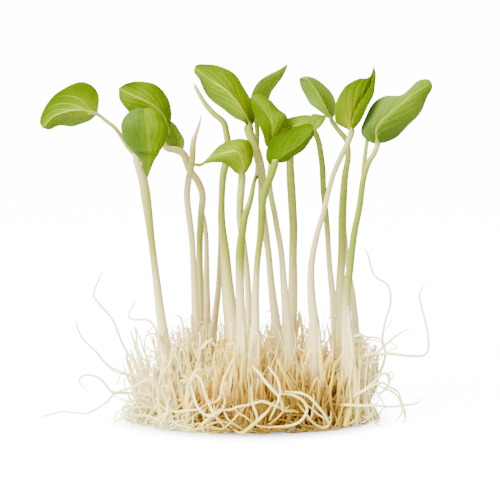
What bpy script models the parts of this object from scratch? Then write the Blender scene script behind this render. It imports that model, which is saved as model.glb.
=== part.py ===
"""Mung bean sprouts: one clump, standing on the flat, matted tangle of its own roots.

Run with: blender --background --python part.py
Points and sizes below are in millimetres from the middle of the root mat. X is the clump's
width, -Y its front and +Z up. The whole clump is then moved so that its box is centred.
"""
import math
import random

import bmesh
import bpy
from mathutils import Vector

MM = 0.001
SPAN_STEPS = 12
CLUMP_SHIFT_X = 7.8
CLUMP_SHIFT_Y = 0.1

# Clearances and section sizes
FIT_GAP = 0.3
STEM_SIDES = 6
TUBE_TURN = (1.0, 0.13, 0.0)
STEM_STEP = 5.0
BLADE_THICKNESS = 0.7
BLADE_ROWS = 9
HALF_COLUMNS = 2
BLADE_BULGE = 0.10
NECK_LENGTH = 3.0
NECK_STEP = 2.0
STALK_STEP = 3.0
NECK_INTO_BLADE = 2.0
NECK_TIP_SHARE = 0.45
STALK_RADIUS = 0.75

# Root mat
CORE_SIDES = 24
CORE_RINGS = [(0.0, 31.0, 18.0), (2.0, 33.5, 20.0), (5.0, 33.0, 19.5), (8.0, 28.0, 16.0),
              (11.0, 19.0, 10.0)]
CORE_TOP = 12.5
CORE_LUMP = 0.05
CORE_LOBES = 5
MAT_HALF_WIDTH = 33.5
MAT_HALF_DEPTH = 20.0
SOCKET_GAP = 0.36
ROOT_RADIUS = 0.55
ROOT_TIP_RADIUS = 0.35
ROOT_SIDES = 3
ROOT_STEP = 4.0
LOWEST_ROOT = 0.9
SEED = 11

# Rules for the roots that repeat: how many, how high, and the course that each one takes
SHEAF_ROOTS = 3
SHEAF_FOOT = (4.5, 7.5)
SHEAF_TOP = (21.0, 33.0)
SHEAF_COURSE = [(1.0, 4.0, 0.0), (1.0, 0.0, 0.35), (0.55, 0.0, 0.7), (0.0, 0.0, 1.0)]
SHEAF_CLEARANCE = 1.0
SHEAF_ROOM = 0.85
LOOP_COUNT = 9
LOOP_TOP = (19.0, 27.0)
LOOP_SPAN = (7.0, 10.0)
LOOP_COURSE = [(0.0, 0.22), (0.05, 0.6), (0.25, 0.93), (0.55, 1.0), (0.9, 0.85), (1.0, 0.2)]
LOOP_ROOM = 0.85
EDGE_SCATTER = 0.35
MANTLE_COUNT = 20
MANTLE_TOP = (11.0, 15.0)
MANTLE_TURN = (0.25, 0.55)
MANTLE_COURSE = [(0.40, 0.0, 0.75), (0.62, 0.3, 1.0), (0.93, 0.6, 0.72), (1.08, 0.8, 0.33),
                 (1.12, 1.0, 0.12)]
SKIRT_COUNT = 22
SKIRT_TOP = (7.0, 15.0)
SKIRT_TURN = (0.20, 0.38)
SKIRT_COURSE = [(0.72, 0.0, 0.55), (0.98, 0.1, 1.0), (1.22, 0.4, 0.6), (1.27, 0.6, 0.25),
                (1.20, 0.85, 0.14), (0.80, 1.0, 0.25)]

# Each sprout: its stem's route from the roots up, its radius at even stations, and its blades.
# A blade has a rib from base to tip and an edge on each side, between the same two ends.
SPROUTS = [
    {
        "stem": [(-26.5, -5, 4), (-28, -5, 16), (-29, -5, 26.5), (-30.5, -5, 40.5), (-31.5, -5.5, 55.5),
                 (-32.5, -6, 66), (-33.5, -6, 73), (-35, -6.5, 78.5), (-35.5, -6.5, 81)],
        "radii": [1.2, 1.1, 1.0, 1.0, 1.0, 1.4, 1.2],
        "neck": 7.5,
        "stalks": [[(-35.2, -6.5, 80), (-38, -6.5, 83), (-39.5, -6.5, 85.5), (-41.5, -7, 88.5),
                    (-44, -7, 90.5), (-46.5, -7.5, 92.5), (-49, -9, 93)],
                   [(-34.5, -6.2, 76), (-33, -8.5, 79), (-31.3, -10.5, 81.5), (-31.5, -11.6, 84)]],
        "blades": [
            {"rib": [(-46.5, -7.5, 92.5), (-51, -10, 93.5), (-55, -10.5, 93), (-58.5, -9.5, 92),
                     (-62.5, -7, 88.5)],
             "one": [(-46.5, -4, 98), (-49, -3, 101), (-53, -3, 101.5), (-59, -3.5, 98.5), (-62.5, -5, 93)],
             "two": [(-49.5, -6, 90.5), (-53.5, -5.5, 89.5), (-58.5, -5.5, 89.5)]},
            {"rib": [(-32, -8, 74), (-31.5, -9.5, 77.5), (-31, -10.5, 81.5), (-31.5, -11.5, 85),
                     (-31.5, -12, 88),
                     (-32.5, -10.5, 92), (-33, -8, 94)],
             "one": [(-33, -8, 76), (-34, -8.5, 79), (-36, -7.5, 81.5), (-36.5, -8, 83), (-39, -8.5, 85.5),
                     (-39.5, -9, 89.5), (-37, -8.5, 93), (-35, -8, 94)],
             "two": [(-31.5, -8.5, 76), (-30.5, -9, 78.5), (-28.5, -9, 81), (-28, -9.5, 82.5),
                     (-26.5, -9.5, 85.5),
                     (-26, -9.5, 89), (-28, -9, 92.5), (-31, -8.5, 94)]},
        ],
    },
    {
        "stem": [(-18, 2, 4), (-18, 2, 14.5), (-18.5, 2, 27), (-19, 2, 42.5), (-19.5, 2, 53),
                 (-20.5, 2, 62),
                 (-21, 2, 68), (-20.5, 2, 73), (-19.5, 1.5, 78), (-19, 1, 84), (-17.5, 1, 88.5),
                 (-16.5, 1, 92.5)],
        "radii": [1.0, 0.9, 0.85, 0.8, 0.8, 0.85, 0.95, 0.3],
    },
    {
        "stem": [(-16.5, 7, 4), (-17, 7, 13.5), (-17.5, 7, 26), (-17.5, 7, 38.5), (-17.5, 7, 51),
                 (-17, 7, 61.5),
                 (-16.5, 7, 67.5), (-18, 6.5, 72), (-20.5, 6.5, 75.5), (-22, 6, 80), (-24.5, 5.5, 81.5),
                 (-27, 5, 82), (-28, 4.5, 84), (-27, 4, 87)],
        "radii": [1.0, 0.9, 0.85, 0.85, 0.85, 0.95, 0.95, 0.8],
        "neck": 14.0,
        "blades": [
            {"rib": [(-26.5, 4, 87), (-27, 2.5, 90), (-29, 0.5, 93.5), (-33.5, -1, 96.5), (-37, -1, 98),
                     (-41, 0, 100)],
             "one": [(-26, 6, 91), (-26.5, 6.5, 96.5), (-30, 6, 100.5), (-35, 5, 102), (-38.5, 2.5, 101.5)],
             "two": [(-29.5, 3, 87), (-34, 0.5, 89.5), (-38, -1, 93), (-40.5, -1, 96.5)]},
            {"rib": [(-22.5, 6.5, 80.5), (-24, 8, 85), (-25.5, 8, 88), (-27, 7.5, 90.5)],
             "one": [(-22, 6.5, 84), (-24, 6.5, 88), (-26, 7, 90)],
             "two": [(-25.5, 7.5, 81.5), (-28, 7.5, 84.5), (-28.5, 7.5, 88)]},
        ],
    },
    {
        "stem": [(-14.5, 12, 4), (-15, 12, 12.5), (-15.5, 12, 25), (-15.5, 12, 37.5), (-15.5, 12, 50),
                 (-16, 12, 58), (-17, 12, 64), (-17, 11.5, 68)],
        "radii": [1.0, 1.0, 0.9, 0.8, 0.7, 0.3],
    },
    {
        "stem": [(-14, 16, 4), (-13.5, 16, 15), (-13.5, 16, 24.5), (-12, 16, 37), (-11.5, 15, 48.5),
                 (-11, 15, 61), (-10.5, 14.5, 71.5), (-9.5, 14, 78)],
        "radii": [0.9, 0.8, 0.75, 0.7, 0.7, 0.3],
    },
    {
        "stem": [(-7.5, 10, 4), (-8, 10, 13), (-8.5, 10, 24), (-9.5, 10, 33.5), (-10, 10, 41),
                 (-10.5, 10, 50.5), (-11, 9.5, 60), (-10.5, 9, 66)],
        "radii": [0.95, 0.9, 0.85, 0.8, 0.7, 0.3],
    },
    {
        "stem": [(-5.5, -1, 4), (-6, -1, 15), (-7, -1, 27.5), (-8.5, -1, 39.5), (-9.5, -1, 50.5),
                 (-10.5, -1, 59.5),
                 (-10.5, -1, 67), (-10, -1, 74.5), (-8.5, -1, 81.5), (-9.5, -1, 88.5), (-10.5, -1, 90.5),
                 (-13, -1, 92.5), (-15.5, -1, 95.5), (-17.5, -1, 99), (-18.5, -1, 101)],
        "radii": [1.1, 1.1, 1.1, 1.1, 1.1, 1.0, 0.9, 0.65, 1.1, 0.8, 0.5],
    },
    {
        "stem": [(-1.5, -7, 4), (-2, -7, 16.5), (-2.5, -7, 28.5), (-2.5, -7, 37.5), (-3, -7.5, 46.5),
                 (-4, -8, 54),
                 (-5, -8.5, 61.5), (-5, -9, 67.5), (-4.5, -9.5, 73.5)],
        "radii": [0.8, 0.75, 0.7, 0.75, 0.9, 1.0, 1.1],
        "blades": [
            {"rib": [(-4.5, -9.5, 74.5), (-4.5, -11.5, 79), (-6, -13, 82), (-9.5, -13, 81.5),
                     (-13, -12.5, 80.5),
                     (-15, -12, 79), (-17, -12, 78), (-19.5, -12, 78.5)],
             "one": [(-6, -9.5, 75.5), (-7.5, -10.5, 77), (-10, -12, 78.5), (-12.5, -12.5, 79),
                     (-14.5, -12.5, 78.5),
                     (-17, -12.5, 77.5)],
             "two": [(-3, -9, 76), (-1.5, -9, 78.5), (-1.5, -9.5, 81.5), (-2.5, -10, 84.5), (-5, -10, 85.5),
                     (-8, -10, 85), (-10.5, -10.5, 83.5), (-12.5, -11, 81.5), (-14.5, -11.5, 79.5),
                     (-16.5, -12, 78.5)]},
        ],
    },
    {
        "stem": [(-4, -13, 4), (-4, -13, 18), (-4.5, -13, 28), (-5, -13, 41.5), (-5, -13, 52),
                 (-4.5, -13, 57.5),
                 (-3.5, -12.5, 63), (-2, -11.5, 67.5), (-1, -8.5, 72), (0, -1.5, 75.5), (0, 2.5, 81.5),
                 (0, 3.5, 87.5), (-0.5, 4, 91.5)],
        "radii": [1.3, 1.2, 1.0, 1.0, 1.1, 0.75, 0.5, 0.6, 0.7],
        "blades": [
            {"rib": [(-0.5, 4, 92.5), (1.5, 3.5, 96), (4, 3, 99.5), (6, 2.5, 102.5), (8, 2, 105),
                     (9, 2, 107)],
             "one": [(-2, 2, 95), (-1.5, 1, 98.5), (0.5, 0.5, 102), (3.5, 1, 104), (6.5, 1.5, 105.5)],
             "two": [(2, 5.5, 94), (3.5, 5.5, 97.5), (5.5, 5, 100.5), (7, 4, 103), (8.5, 2.5, 105)]},
        ],
    },
    {
        "stem": [(-1, -15, 4), (-1, -15, 18), (-0.5, -14.5, 30), (-0.5, -14, 38.5), (0, -13.5, 49),
                 (1, -13, 57.5),
                 (1.5, -13, 66.5), (2.5, -13.5, 71), (4, -14, 75), (5, -14.5, 78)],
        "radii": [1.1, 1.0, 0.9, 0.9, 0.9, 1.05, 1.0],
        "neck": 4.0,
        "blades": [
            {"rib": [(5, -14.5, 79), (8, -16, 81.5), (12, -16.5, 84), (14, -16, 86), (16, -15, 88.5)],
             "one": [(3.5, -13.5, 78.5), (2.5, -12.5, 81), (3.5, -12.5, 84.5), (6.5, -12.5, 86.5),
                     (10, -12, 88.5),
                     (13.5, -12.5, 89.5), (15.5, -13.5, 89.5)],
             "two": [(7.5, -13, 79), (11.5, -12.5, 81), (14, -12.5, 83.5), (16, -13.5, 86)]},
        ],
    },
    {
        "stem": [(7.5, 3, 4), (7, 3, 14.5), (6, 3, 27), (4.5, 3, 39), (3.5, 2.5, 50), (2.5, 1, 57.5),
                 (1.5, -1, 65.5),
                 (1.5, -4, 73), (0.5, -6, 79), (-1, -6.5, 83.5), (-2.5, -7, 87.5)],
        "radii": [1.2, 1.1, 1.0, 0.9, 0.95, 1.05, 1.1, 1.2],
        "blades": [
            {"rib": [(-2.5, -7, 88.5), (-2.5, -7.5, 90.5), (-5, -8, 95), (-8.5, -7.5, 99),
                     (-13, -6, 102), (-18, -5, 106.5)],
             "one": [(-1, -5, 90), (-1, -4, 94), (-3.5, -3, 99.5), (-6.5, -2.5, 104), (-11.5, -3, 106.5),
                     (-16, -4, 107)],
             "two": [(-4, -9.5, 90.5), (-8, -9.5, 92.5), (-12.5, -9, 96), (-15.5, -8, 99.5),
                     (-16.5, -6.5, 103.5)]},
        ],
    },
    {
        "stem": [(10.5, -8, 4), (10, -8, 16.5), (9, -8, 29), (8, -8, 41), (7, -8, 52.5), (5.5, -8.5, 61.5),
                 (4, -9, 68.5), (3.5, -9.5, 73.5), (4, -9.5, 78), (4, -9.5, 82)],
        "radii": [1.1, 1.0, 0.95, 0.9, 0.85, 0.8, 0.75],
        "blades": [
            {"rib": [(4, -9.5, 82.5), (4, -9.5, 86), (4, -9, 90), (2, -8, 93.5), (-0.5, -7, 96),
                     (-2, -6, 97.5)],
             "one": [(2.5, -10.5, 83.5), (1.5, -10.5, 87), (-0.5, -10, 91.5), (-1.5, -8.5, 95)],
             "two": [(5.5, -8, 84.5), (8, -6.5, 89), (8.5, -6, 91.5), (6.5, -5, 93.5), (4.5, -5, 96),
                     (2, -5, 97.5),
                     (0, -5.5, 98)]},
        ],
    },
    {
        "stem": [(10, 4, 4), (10.5, 4, 14), (10.5, 4, 25), (11, 4, 39), (11, 4, 51), (11, 4, 59),
                 (10.5, 4, 68),
                 (10, 4, 75.5), (10, 4, 81.5)],
        "radii": [1.2, 1.2, 1.15, 1.2, 1.2, 1.25, 1.1],
        "blades": [
            {"rib": [(10, 4, 82.5), (10.5, 8, 83.5), (10, 13, 84), (10, 18, 84.5)],
             "one": [(13, 5.5, 83), (14.5, 10, 84), (13, 15, 84.5)],
             "two": [(7, 5.5, 83), (6, 10, 84), (7, 15, 84.5)]},
        ],
    },
    {
        "stem": [(17.5, -9, 4), (17, -9, 17), (17, -9, 29), (16, -9, 39.5), (16, -9, 48.5), (17.5, -9, 57),
                 (19.5, -9, 64), (21, -9, 70.5), (22.5, -8.5, 75.5), (24.5, -8.5, 80.5), (26, -8.5, 83.5),
                 (27, -8.5, 86)],
        "radii": [1.3, 1.1, 0.95, 0.85, 0.75, 0.65, 0.7, 0.85],
        "blades": [
            {"rib": [(27.5, -8.5, 87.5), (28, -8, 91.5), (29.5, -7.5, 95), (31.5, -7, 98),
                     (33, -6.5, 101.5),
                     (34, -6, 106.5)],
             "one": [(25.5, -8, 88.5), (23, -8.5, 90), (22.5, -9, 93), (23, -9, 96.5), (25.5, -8.5, 100.5),
                     (29, -8, 102.5), (32, -7, 103), (33.5, -6.5, 104.5)],
             "two": [(29, -10.5, 89.5), (31, -11, 93), (33, -10.5, 97), (34, -9, 100.5),
                     (34.5, -7.5, 103.5)]},
        ],
    },
    {
        "stem": [(25.5, 6, 4), (25, 6, 14), (24, 6, 28), (23, 6, 38.5), (22, 6, 48), (21.5, 6, 55.5),
                 (21, 5, 61.5),
                 (20, 3, 69.5), (19.5, 1, 77), (18.5, -2, 83), (17.5, -4, 86), (16.5, -5.5, 88)],
        "radii": [0.9, 0.8, 0.75, 0.7, 0.7, 0.75, 0.7],
        "blades": [
            {"rib": [(16, -6, 88.5), (12.5, -5, 88.5), (9, -4, 87.5), (5, -3.5, 85.5)],
             "one": [(15.5, -4, 92), (12, -2.5, 91.5), (8.5, -2.5, 91), (6, -3, 88)],
             "two": [(13.5, -7, 87), (10, -6.5, 85.5), (7, -5, 84.5)]},
            {"rib": [(16, -6, 88.5), (17.5, -6, 90.5), (19.5, -5.5, 92)],
             "one": [(16, -4.5, 91), (17.5, -4.5, 92.5)],
             "two": [(17.5, -7, 88.5), (19, -6.5, 90)]},
        ],
    },
    {
        "stem": [(27, -1, 4), (26.5, -1, 15), (25.5, -1, 27.5), (25, -1, 39.5), (25.5, -1, 52),
                 (25.5, -1, 62.5),
                 (26, -1, 73), (27, -1, 80), (26.5, -1, 84.5), (25, -1.5, 86.5), (23, -2, 89),
                 (22, -2.5, 90.5)],
        "radii": [1.0, 0.9, 0.9, 0.9, 0.95, 0.9, 0.75, 0.75],
        "neck": 8.0,
        "blades": [
            {"rib": [(22, -2.5, 90.5), (20, -3.5, 93), (18, -4, 96), (16, -4.5, 99.5), (14, -4.5, 102.5),
                     (12.5, -4, 103)],
             "one": [(23, -1, 92.5), (23, 0, 96), (21.5, 0, 99.5), (18, -0.5, 102), (15, -2, 103.5)],
             "two": [(20.5, -3, 91.5), (18, -3, 93.5), (15.5, -2.5, 95.5), (13.5, -2.5, 99),
                     (12.5, -3, 101.5)]},
        ],
    },
    {
        "stem": [(27.5, -9, 4), (27.5, -9, 17), (26.5, -9, 29), (26.5, -9, 39.5), (27.5, -9, 49),
                 (28.5, -9, 58),
                 (30, -9, 66), (31, -9, 73.5), (32.5, -9, 78.5), (34, -9, 81), (35, -9, 83.5)],
        "radii": [1.3, 1.1, 1.0, 1.0, 0.95, 0.85, 0.75],
        "stalks": [[(31.5, -6.5, 79.5), (32, -7.5, 82.5), (32.5, -8, 85), (33, -8.2, 87)]],
        "blades": [
            {"rib": [(35, -9, 84), (34.5, -10.5, 88.5), (38, -11, 92.5), (41.5, -10.5, 95.5),
                     (46, -9.5, 99), (50.5, -9, 101.5)],
             "one": [(33, -8.5, 84.5), (30.5, -8, 87), (31, -7.5, 90.5), (33.5, -7, 95), (37.5, -6, 97.5),
                     (41.5, -6.5, 98), (44.5, -7, 100), (47, -7.5, 102), (49.5, -8.5, 102.5)],
             "two": [(37.5, -8.5, 85.5), (41.5, -8, 88.5), (45, -7.5, 92.5), (48, -7.5, 96.5),
                     (50, -8.5, 99.5)]},
        ],
    },
    {
        "stem": [(29, 6, 4), (30, 6, 14), (30, 6, 24.5), (29.5, 6, 35.5), (28, 6, 45), (27, 6, 54),
                 (26.5, 6, 61.5), (26.5, 5.5, 66.5)],
        "radii": [0.8, 0.75, 0.7, 0.7, 0.6, 0.3],
    },
]

# Roots whose course is seen one by one: stray ones at both sides, then the loops in front.
STRAY_ROOTS = [
    [(-24, -4, 6), (-32, -5, 13.5), (-36, -5, 17.5), (-40, -5, 23.5), (-43, -6, 31.5), (-48, -6, 37.5),
     (-48.5, -6, 39.5), (-47, -6, 43.5), (-45.5, -6, 46.5)],
    [(-25, -8, 6), (-33, -9, 14), (-37, -10, 15.5), (-43.5, -10, 18), (-48, -10, 23), (-51.5, -10, 26.5),
     (-53, -10, 29.5), (-53.5, -10, 32.5)],
    [(-25, -9, 6), (-31.5, -12, 10), (-39, -14, 11), (-42.5, -14, 11.5), (-45.5, -14, 15), (-49, -14, 16.5),
     (-51.5, -14, 16), (-52, -14, 14), (-49, -14, 11)],
    [(-24, -10, 7), (-31, -15, 15), (-36.5, -15, 13), (-41.5, -14, 11), (-44.5, -12, 8), (-47.5, -10, 5.5),
     (-51, -8, 3.5), (-58.5, -6, 3.5), (-63.5, -4, 2), (-66, -3, 1.2)],
    [(-24, -3, 7), (-29, -3, 24), (-32, -3, 30.5), (-37, -3, 31), (-38.5, -3, 32.5), (-37, -3, 35.5),
     (-36.5, -3, 37)],
    [(24, -2, 6), (31.5, -3, 11.5), (35.5, -3, 13), (37.5, -4, 16.5), (38.5, -4, 21), (37.5, -4, 24.5),
     (38.5, -4, 31), (40, -4, 36.5), (39, -4, 41.5), (35, -4, 44.5), (33, -4, 50.5), (31.5, -4, 53)],
    [(22, -6, 8), (31, -9, 20.5), (38, -10, 22), (43.5, -10, 21.5), (48.5, -10, 21.5), (50.5, -10, 23),
     (50.5, -10, 27.5), (49.5, -10, 32), (48, -10, 38), (48, -10, 40.5), (49.5, -10, 43)],
    [(24, -5, 7), (33.5, -7, 19), (38.5, -7, 24.5), (42.5, -7, 27.5), (45.5, -7, 29)],
    [(24, -9, 6), (32.5, -13, 12.5), (37, -14, 17), (39, -14, 16), (38.5, -14, 13.5), (36.5, -14, 11.5),
     (32, -13, 10.5)],
    [(24, -10, 6), (35, -15, 14), (38.5, -16, 13.5), (41, -16, 12), (42, -16, 9.5), (43, -16, 6),
     (43, -16, 4)],
    [(22, -11, 7), (34.5, -19, 8.5), (39.5, -20, 8.5), (43.5, -20, 9), (46, -20, 9.5), (48, -20, 11)],
    [(20, -5, 9), (27.5, -10, 26), (33, -10, 27), (37, -10, 26), (38, -10, 23)],
    [(-30, -8, 6), (-34.5, -10, 8.5), (-37, -13, 8), (-39, -15, 6.5), (-41, -16, 3)],
]
FRONT_ROOTS = [
    [(-5, -8, 12), (-5.5, -17, 29), (-5.5, -20, 26), (-8, -22, 21), (-10, -24, 16.5), (-11.5, -25, 11.5),
     (-14.5, -21, 8)],
    [(-2, -8, 12), (-2.5, -17, 24.5), (-1.5, -21, 21), (2, -23, 18), (5.5, -25, 15), (7.5, -25.5, 10.5),
     (5, -22, 6)],
    [(-19, -8, 8), (-20, -18, 16.5), (-19, -21, 13), (-17, -23, 8.5), (-13, -24, 6.5), (-9, -20, 3)],
    [(-16, -14, 5), (-11.5, -24.5, 8.5), (-6, -25.5, 10), (-2, -26, 11.5), (3, -26, 12),
     (7.5, -25.5, 9.5), (11, -18, 5)],
    [(-6, -16, 5), (0, -26, 5), (4.5, -27, 5), (9, -27, 5.5), (12.5, -27, 7.5), (14.5, -26.5, 10),
     (12.5, -25, 13.5),
     (9.5, -23, 14), (5, -13, 9)],
    [(4, -12, 9), (11.5, -23.5, 14.5), (16, -24, 12), (19.5, -24, 9.5), (21, -24, 6), (18.5, -24, 3.5),
     (13, -17, 4)],
    [(8, -8, 9), (11, -18, 19.5), (12.5, -21.5, 15), (15.5, -23.5, 11), (18.5, -24, 7.5), (22, -14, 4)],
    [(-14, -15, 7), (-22, -24, 8.5), (-26, -24.5, 7.5), (-28, -24, 5.5), (-27, -12, 4)],
    [(-22, -6, 7), (-28, -12, 17), (-31.5, -15, 15), (-33.5, -17, 12), (-32.5, -19, 8.5), (-24, -14, 6)],
    [(18, -9, 7), (23.5, -16, 14), (27, -18, 11.5), (30.5, -18, 7.5), (33.5, -17, 3.5)],
]

CREAM = (0.80, 0.72, 0.50, 1.0)
ROOT_CREAM = (0.85, 0.74, 0.50, 1.0)
LEAF_GREEN = (0.30, 0.46, 0.02, 1.0)


def clear_scene():
    for old in list(bpy.data.objects):
        bpy.data.objects.remove(old, do_unlink=True)


def material(name, colour, roughness):
    made = bpy.data.materials.new(name)
    made.use_nodes = True
    surface = made.node_tree.nodes["Principled BSDF"]
    surface.inputs["Base Color"].default_value = colour
    surface.inputs["Roughness"].default_value = roughness
    surface.inputs["Metallic"].default_value = 0.0
    return made


def fine_curve(points):
    """Close points on a smooth curve through the given ones, and the length run at each."""
    given = [Vector(point) for point in points]
    padded = [2 * given[0] - given[1]] + given + [2 * given[-1] - given[-2]]
    fine = []
    for index in range(1, len(padded) - 2):
        before, start, end, after = padded[index - 1:index + 3]
        for step in range(SPAN_STEPS):
            t = step / SPAN_STEPS
            bend = 2 * before - 5 * start + 4 * end - after
            twist = 3 * start - before - 3 * end + after
            fine.append(0.5 * (2 * start + (end - before) * t + bend * t * t + twist * t * t * t))
    fine.append(given[-1])
    run = [0.0]
    for first, second in zip(fine, fine[1:]):
        run.append(run[-1] + (second - first).length)
    return fine, run


def path_length(points):
    return fine_curve(points)[1][-1]


def smooth_path(points, count, start=0.0, end=None):
    """Even stations along the smooth curve, between two lengths along it."""
    fine, run = fine_curve(points)
    last = run[-1] if end is None else end
    stations = []
    span = 0
    for index in range(count):
        wanted = start + (last - start) * index / (count - 1)
        while span < len(fine) - 2 and run[span + 1] < wanted:
            span += 1
        share = (wanted - run[span]) / (run[span + 1] - run[span])
        stations.append(fine[span].lerp(fine[span + 1], min(share, 1.0)))
    return stations


def read_evenly(values, share):
    """The value at a share from 0 to 1 along a list of evenly spaced values."""
    place = share * (len(values) - 1)
    low = min(int(place), len(values) - 2)
    return values[low] + (values[low + 1] - values[low]) * (place - low)


def new_object(name, mesh_builder):
    mesh = bpy.data.meshes.new(name)
    shift = Vector((CLUMP_SHIFT_X, CLUMP_SHIFT_Y, 0.0))
    for vertex in mesh_builder.verts:
        vertex.co = (vertex.co + shift) * MM
    bmesh.ops.recalc_face_normals(mesh_builder, faces=mesh_builder.faces[:])
    mesh_builder.to_mesh(mesh)
    mesh_builder.free()
    made = bpy.data.objects.new(name, mesh)
    bpy.context.scene.collection.objects.link(made)
    return made


def tube(name, stations, radii, sides, grow=0.0):
    """A closed round tube along a path, with flat ends."""
    shape = bmesh.new()
    rings = []
    across = Vector(TUBE_TURN)
    for index, centre in enumerate(stations):
        ahead = stations[min(index + 1, len(stations) - 1)]
        behind = stations[max(index - 1, 0)]
        along = (ahead - behind).normalized()
        across = (across - along * across.dot(along)).normalized()
        other = along.cross(across)
        radius = read_evenly(radii, index / (len(stations) - 1)) + grow
        ring = []
        for side in range(sides):
            angle = 2 * math.pi * side / sides
            outward = across * math.cos(angle) + other * math.sin(angle)
            ring.append(shape.verts.new(centre + outward * radius))
        rings.append(ring)
    for lower, upper in zip(rings, rings[1:]):
        for side in range(sides):
            following = (side + 1) % sides
            shape.faces.new((lower[side], lower[following], upper[following], upper[side]))
    shape.faces.new(rings[0][::-1])
    shape.faces.new(rings[-1])
    return new_object(name, shape)


def blade_surface(blade):
    """Rows of points across a blade, from one edge over the rib to the other, without its two ends."""
    base, tip = blade["rib"][0], blade["rib"][-1]
    rib = smooth_path(blade["rib"], BLADE_ROWS + 1)
    one = smooth_path([base] + blade["one"] + [tip], BLADE_ROWS + 1)
    two = smooth_path([base] + blade["two"] + [tip], BLADE_ROWS + 1)
    rows = []
    for index in range(1, BLADE_ROWS):
        along = rib[index + 1] - rib[index - 1]
        row = []
        for edge, turn in ((one, 1), (two, -1)):
            across = edge[index] - rib[index]
            lift = along.cross(across).normalized() * turn * across.length * BLADE_BULGE
            half = []
            for column in range(HALF_COLUMNS + 1):
                s = column / HALF_COLUMNS
                half.append(rib[index] + across * s + lift * 4 * s * (1 - s))
            row.append(half)
        rows.append(row[0][:0:-1] + row[1])
    return rib[0], rows, rib[-1]


def blade_normals(base, rows, tip):
    """One upright direction at each point of a blade's surface, and at its base and tip."""
    normals = []
    for index, row in enumerate(rows):
        ahead = rows[index + 1] if index + 1 < len(rows) else [tip] * len(row)
        behind = rows[index - 1] if index > 0 else [base] * len(row)
        line = []
        for column in range(len(row)):
            along = ahead[column] - behind[column]
            across = row[min(column + 1, len(row) - 1)] - row[max(column - 1, 0)]
            line.append(along.cross(across).normalized())
        normals.append(line)
    middle = len(rows[0]) // 2
    return normals[0][middle], normals, normals[-1][middle]


def blade_solid(name, blade):
    """A thin closed blade, split into triangles alike on both faces."""
    base, rows, tip = blade_surface(blade)
    base_normal, normals, tip_normal = blade_normals(base, rows, tip)
    shape = bmesh.new()
    columns = len(rows[0])
    rims = []
    for side in (0.5, -0.5):
        offset = BLADE_THICKNESS * side
        base_vertex = shape.verts.new(base + base_normal * offset)
        tip_vertex = shape.verts.new(tip + tip_normal * offset)
        grid = []
        for row, line in zip(rows, normals):
            grid.append([shape.verts.new(point + normal * offset) for point, normal in zip(row, line)])
        for column in range(columns - 1):
            shape.faces.new((base_vertex, grid[0][column], grid[0][column + 1]))
            shape.faces.new((tip_vertex, grid[-1][column + 1], grid[-1][column]))
        for lower, upper in zip(grid, grid[1:]):
            for column in range(columns - 1):
                shape.faces.new((lower[column], upper[column], upper[column + 1]))
                shape.faces.new((lower[column], upper[column + 1], lower[column + 1]))
        first_edge = [row[0] for row in grid]
        last_edge = [row[-1] for row in grid[::-1]]
        rims.append([base_vertex] + first_edge + [tip_vertex] + last_edge)
    top_rim, under_rim = rims
    for index in range(len(top_rim)):
        following = (index + 1) % len(top_rim)
        shape.faces.new((top_rim[index], top_rim[following], under_rim[following]))
        shape.faces.new((top_rim[index], under_rim[following], under_rim[index]))
    return new_object(name, shape)


def apply_boolean(target, others, operation):
    """Join or cut the target with every object of a collection, and remove those objects."""
    group = bpy.data.collections.new("tools_of_" + target.name)
    for other in others:
        group.objects.link(other)
    boolean = target.modifiers.new("join", "BOOLEAN")
    boolean.operation = operation
    boolean.operand_type = "COLLECTION"
    boolean.collection = group
    boolean.solver = "MANIFOLD"
    result = bpy.data.meshes.new_from_object(target.evaluated_get(bpy.context.evaluated_depsgraph_get()))
    target.modifiers.remove(boolean)
    target.data = result
    for other in others:
        bpy.data.objects.remove(other, do_unlink=True)
    bpy.data.collections.remove(group)


def keep_largest_body(target):
    """Drop the loose scraps that a cut leaves behind."""
    shape = bmesh.new()
    shape.from_mesh(target.data)
    bmesh.ops.triangulate(shape, faces=shape.faces[:])
    unseen = set(shape.verts)
    bodies = []
    while unseen:
        body = []
        waiting = [unseen.pop()]
        while waiting:
            vertex = waiting.pop()
            body.append(vertex)
            for edge in vertex.link_edges:
                other = edge.other_vert(vertex)
                if other in unseen:
                    unseen.remove(other)
                    waiting.append(other)
        bodies.append(body)
    bodies.sort(key=len)
    for scrap in bodies[:-1]:
        bmesh.ops.delete(shape, geom=scrap, context="VERTS")
    shape.to_mesh(target.data)
    shape.free()
    print(target.name, "dropped", len(bodies) - 1, "scraps")


def finish(target, surface, crease_degrees):
    target.data.materials.clear()
    target.data.materials.append(surface)
    target.data.shade_smooth()
    target.data.set_sharp_from_angle(angle=math.radians(crease_degrees))


def sprout_stem(name, sprout, grow=0.0):
    """The stem below its leaves, or all of it on a bare shoot."""
    total = path_length(sprout["stem"])
    end = total
    if "blades" in sprout:
        end -= sprout.get("neck", NECK_LENGTH) + FIT_GAP
    count = round(end / STEM_STEP) + 1
    radii = [read_evenly(sprout["radii"], end / total * index / (count - 1)) for index in range(count)]
    return tube(name, smooth_path(sprout["stem"], count, 0.0, end), radii, STEM_SIDES, grow)


def neck(name, sprout):
    """The stem's green end, which runs on a little way under its first blade."""
    total = path_length(sprout["stem"])
    start = total - sprout.get("neck", NECK_LENGTH)
    count = max(3, round((total - start) / NECK_STEP) + 1)
    route = smooth_path(sprout["stem"], count, start, total)
    rib = sprout["blades"][0]["rib"]
    if (Vector(rib[0]) - route[-1]).length < NECK_LENGTH:
        route += smooth_path(rib, 3, 0.0, NECK_INTO_BLADE)[1:]
    low = read_evenly(sprout["radii"], start / total)
    high = sprout["radii"][-1]
    return tube(name, route, [low, high, high, high * NECK_TIP_SHARE], STEM_SIDES)


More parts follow.
